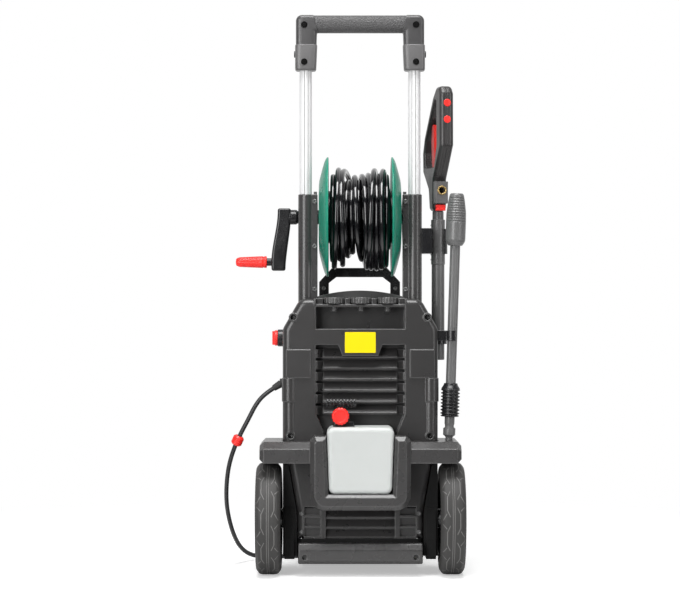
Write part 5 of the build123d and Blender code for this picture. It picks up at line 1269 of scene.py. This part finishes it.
@dataclass
class GunTrim:
    """Red plugs in the back strap, the brass union of the valve and the barrel with its ticked sleeve."""

    place: Pair = (0.1435, -0.100)
    turn: float = math.radians(15)
    plug_seats: Corners = ((-0.0563, 0.850), (-0.0563, 0.820))
    union_seat: Pair = (-0.024, 0.693)
    plug: Corners = ((-3, 0), (-3, 6.8), (0.4, 6.8), (1.2, 5.8), (1.4, 0))
    union: Corners = ((-4, 5.2), (-4, 8.5), (1.2, 8.5), (1.6, 8), (1.6, 6.4), (0.6, 5.6), (-4, 5.2))
    bore: Corners = ((30, 0), (30, 8.8))
    barrel: Corners = (
        (0, 9), (0, 11.2), (1, 11.8), (174.5, 11.8), (175.2, 12.8), (256.5, 12.8), (257.2, 10.3), (272, 10.3),
        (272, 0),
    )
    barrel_foot: float = 0.383
    tick_run: Pair = (0.562, 0.634)
    tick_pitch: float = 0.009
    tick_turn: float = math.radians(-112)
    tick_height: float = 0.0009

    def point(self, forward: float, height: float) -> Array:
        """Place in the machine of a point in the gun's side view."""
        x, y = self.place
        return np.array([x - math.sin(self.turn) * forward, y + math.cos(self.turn) * forward, height])

    def ticked(self, distance: Array, angle: Array) -> Array:
        """Raised ticks on the sleeve, on the half that the rear shows on the left.

        Args:
            distance: Distance from the foot of the barrel.
            angle: Angle round the barrel.

        Returns:
            Height over the plain sleeve, zero or positive.
        """
        z = self.barrel_foot + distance
        row = np.abs(np.mod(z - self.tick_run[0], self.tick_pitch) - self.tick_pitch / 2)
        run = (z > self.tick_run[0]) & (z < self.tick_run[1])
        side = np.clip((0.42 - np.abs(turn_from(angle, self.tick_turn))) / 0.08, 0, 1)
        return self.tick_height * run * np.clip((0.0016 - row) / 0.0006, 0, 1) * side

    def build(self) -> list[Thing]:
        """Makes the plugs, the union and the barrel.

        Returns:
            The three pieces.
        """
        rearward = self.point(-1.0, 0.0) - self.point(0.0, 0.0)
        plugs = Surface()
        for seat in self.plug_seats:
            plugs.lathe(profile(self.plug, 0.6), self.point(*seat), rearward, 40)
        ring = profile(self.union, 0.3)[:-1]
        union = Surface().lathe(ring, self.point(*self.union_seat), rearward, 40, looped=True)
        bore = np.array(self.bore) / MM_IN_METRE
        line = resampled(np.concatenate([bore, profile(self.barrel, 0.4)]), 0.0009)
        barrel = Surface().lathe(line, (*self.place, self.barrel_foot), Z_AXIS, 112, self.ticked)
        made = [
            plugs.piece("strap_plugs", RED, "gun"),
            union.piece("valve_union", BRASS, "gun"),
            barrel.piece("ticked_barrel", LANCE_GREY, "gun"),
        ]
        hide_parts("gun_barrel")
        return made


# ------------ small parts
@dataclass(frozen=True)
class FlutedPart:
    """Knob or cap: a turned form with hollows round its side."""

    name: str
    node: str
    body: str
    finish: Finish
    origin: Point
    axis: Point
    section: Corners
    rounding: float
    step: float
    steps: int
    hollows: int
    depth: float
    run: Pair
    fade: float
    gain: float
    cut: float
    sharp: float = 50.0

    def relief(self, distance: Array, angle: Array) -> Array:
        """Hollows -d (g cos(n t) - c), kept between -d and 0, which fade out at both ends of their run."""
        hollow = np.clip(self.gain * np.cos(self.hollows * angle) - self.cut, 0.0, 1.0)
        return -self.depth * band(distance, *self.run, self.fade) * hollow

    def build(self) -> list[Thing]:
        """Makes the piece that stands for the node.

        Returns:
            The piece.
        """
        line = profile(self.section, self.rounding, self.step)
        surface = Surface().lathe(line, self.origin, self.axis, self.steps, self.relief)
        piece = surface.piece(self.name, self.finish, self.body, self.sharp)
        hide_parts(self.node)
        return [piece]


CRANK_KNOB = FlutedPart(
    "crank_knob", "crank_grip", "crank_grip", RED, origin=(-0.170, -0.115, 0.562), axis=(-1.0, 0.0, 0.0),
    section=((0, 5.2), (0, 10.8), (4, 10.8), (5.5, 9.6), (7.5, 10.8), (50, 8.9), (56, 6.5), (57, 0)),
    rounding=2, step=1.2, steps=80, hollows=10, depth=0.0006, run=(0.010, 0.053), fade=0.004, gain=2.0,
    cut=0.6,
)
# The black nozzle tips take the lighter dark grey finish: a painted highlight.
NOZZLE_TIPS = tuple(
    FlutedPart(
        f"tip_{word}", f"nozzle_tip_{word}", f"nozzle_{word}", DARK_GREY, origin=(x, -0.1895, 0.4723),
        axis=Z_AXIS,
        section=(
            (0, 0), (0, 5.5), (1, 6.2), (3, 4.8), (5, 6.3), (12, 6.3), (13.5, 15), (14.5, 18), (23.5, 18),
            (25.5, 16.5), (25.6, 10), (24, 8.5), (25.8, 5), (25.8, 0),
        ),
        rounding=0.6, step=1.2, steps=128, hollows=16, depth=0.0013, run=(0.0145, 0.0250), fade=MM,
        gain=1.6, cut=0.2,
    )
    for x, word in ((-0.047, "left"), (0.001, "middle"), (0.049, "right"))
)
TANK_CAP = FlutedPart(
    "ribbed_cap", "tank_cap", "tank_cap", RED, origin=(-0.0355, -0.2363, 0.287), axis=REARWARD,
    section=((0, 6), (0, 15.5), (12.4, 15.5), (15, 12.5), (15, 10.5), (13.8, 9.7), (13.8, 0)),
    rounding=0.6, step=0.8, steps=128, hollows=16, depth=MM, run=(-math.inf, 0.0138), fade=0.0012,
    gain=1.5, cut=0.3, sharp=40.0,
)


@dataclass
class ScrewHeads:
    """Button heads with a rolled rim and a round socket, on the columns, covers and ankles."""

    # seats on the right side: x, y and z, then radius and height in mm
    seats: tuple[tuple[float, float, float, float, float], ...] = (
        (0.082, -0.157, 0.512, 4.5, 2.5), (0.082, -0.157, 0.590, 4.5, 2.5), (0.082, -0.157, 0.671, 4.5, 2.5),
        (0.1245, -0.192, 0.250, 4.5, 4.0), (0.120, -0.192, 0.462, 4.5, 4.0), (0.105, -0.205, 0.078, 4.0, 2.5),
        (0.105, -0.205, 0.111, 4.0, 2.5), (0.066, -0.057, 0.514, 4.0, 2.5),
    )
    socket: float = 0.48

    def section(self, radius: float, height: float) -> Array:
        """Profile of a head of this radius and height in millimetres, with its socket sunk 1.4 mm."""
        hole, floor = radius * self.socket, height - 1.4
        rim = [(0, 0), (0, radius), (height - 1, radius), (height, radius - 1)]
        return profile([*rim, (height, hole + 0.3), (height - 0.4, hole), (floor, hole), (floor, 0)], 0.4)

    def build(self) -> list[Thing]:
        """Makes all the heads as one piece.

        Returns:
            The piece.
        """
        heads = Surface()
        for x, y, z, radius, height in self.seats:
            for side, _ in SIDES:
                heads.lathe(self.section(radius, height), (side * x, y, z), REARWARD, 30)
        piece = heads.piece("screw_heads", LIT_SCREW, "machine", sharp=50.0)
        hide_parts("body_screws")
        return [piece]


def dress_nodes() -> None:
    """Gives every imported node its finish."""
    for finish, names in FINISHED_NODES.items():
        for name in names:
            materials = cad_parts[name].data.materials
            materials.clear()
            materials.append(finish.material())


def main() -> None:
    """Builds the studio, the cords and the detailed pieces."""
    logging.basicConfig(level=logging.INFO, format="%(name)s: %(message)s")
    Studio().build()
    dress_nodes()
    for maker in (
        MainsCord(), HoseWinding(), Tyres(), Handle(), Grip(), Reel(), CRANK_KNOB, Lance(), GunTrim(),
        *NOZZLE_TIPS, ScrewHeads(), TANK_CAP,
    ):
        for piece in maker.build():
            LOG.info("built %s", piece.name)


if __name__ == "__main__":
    main()
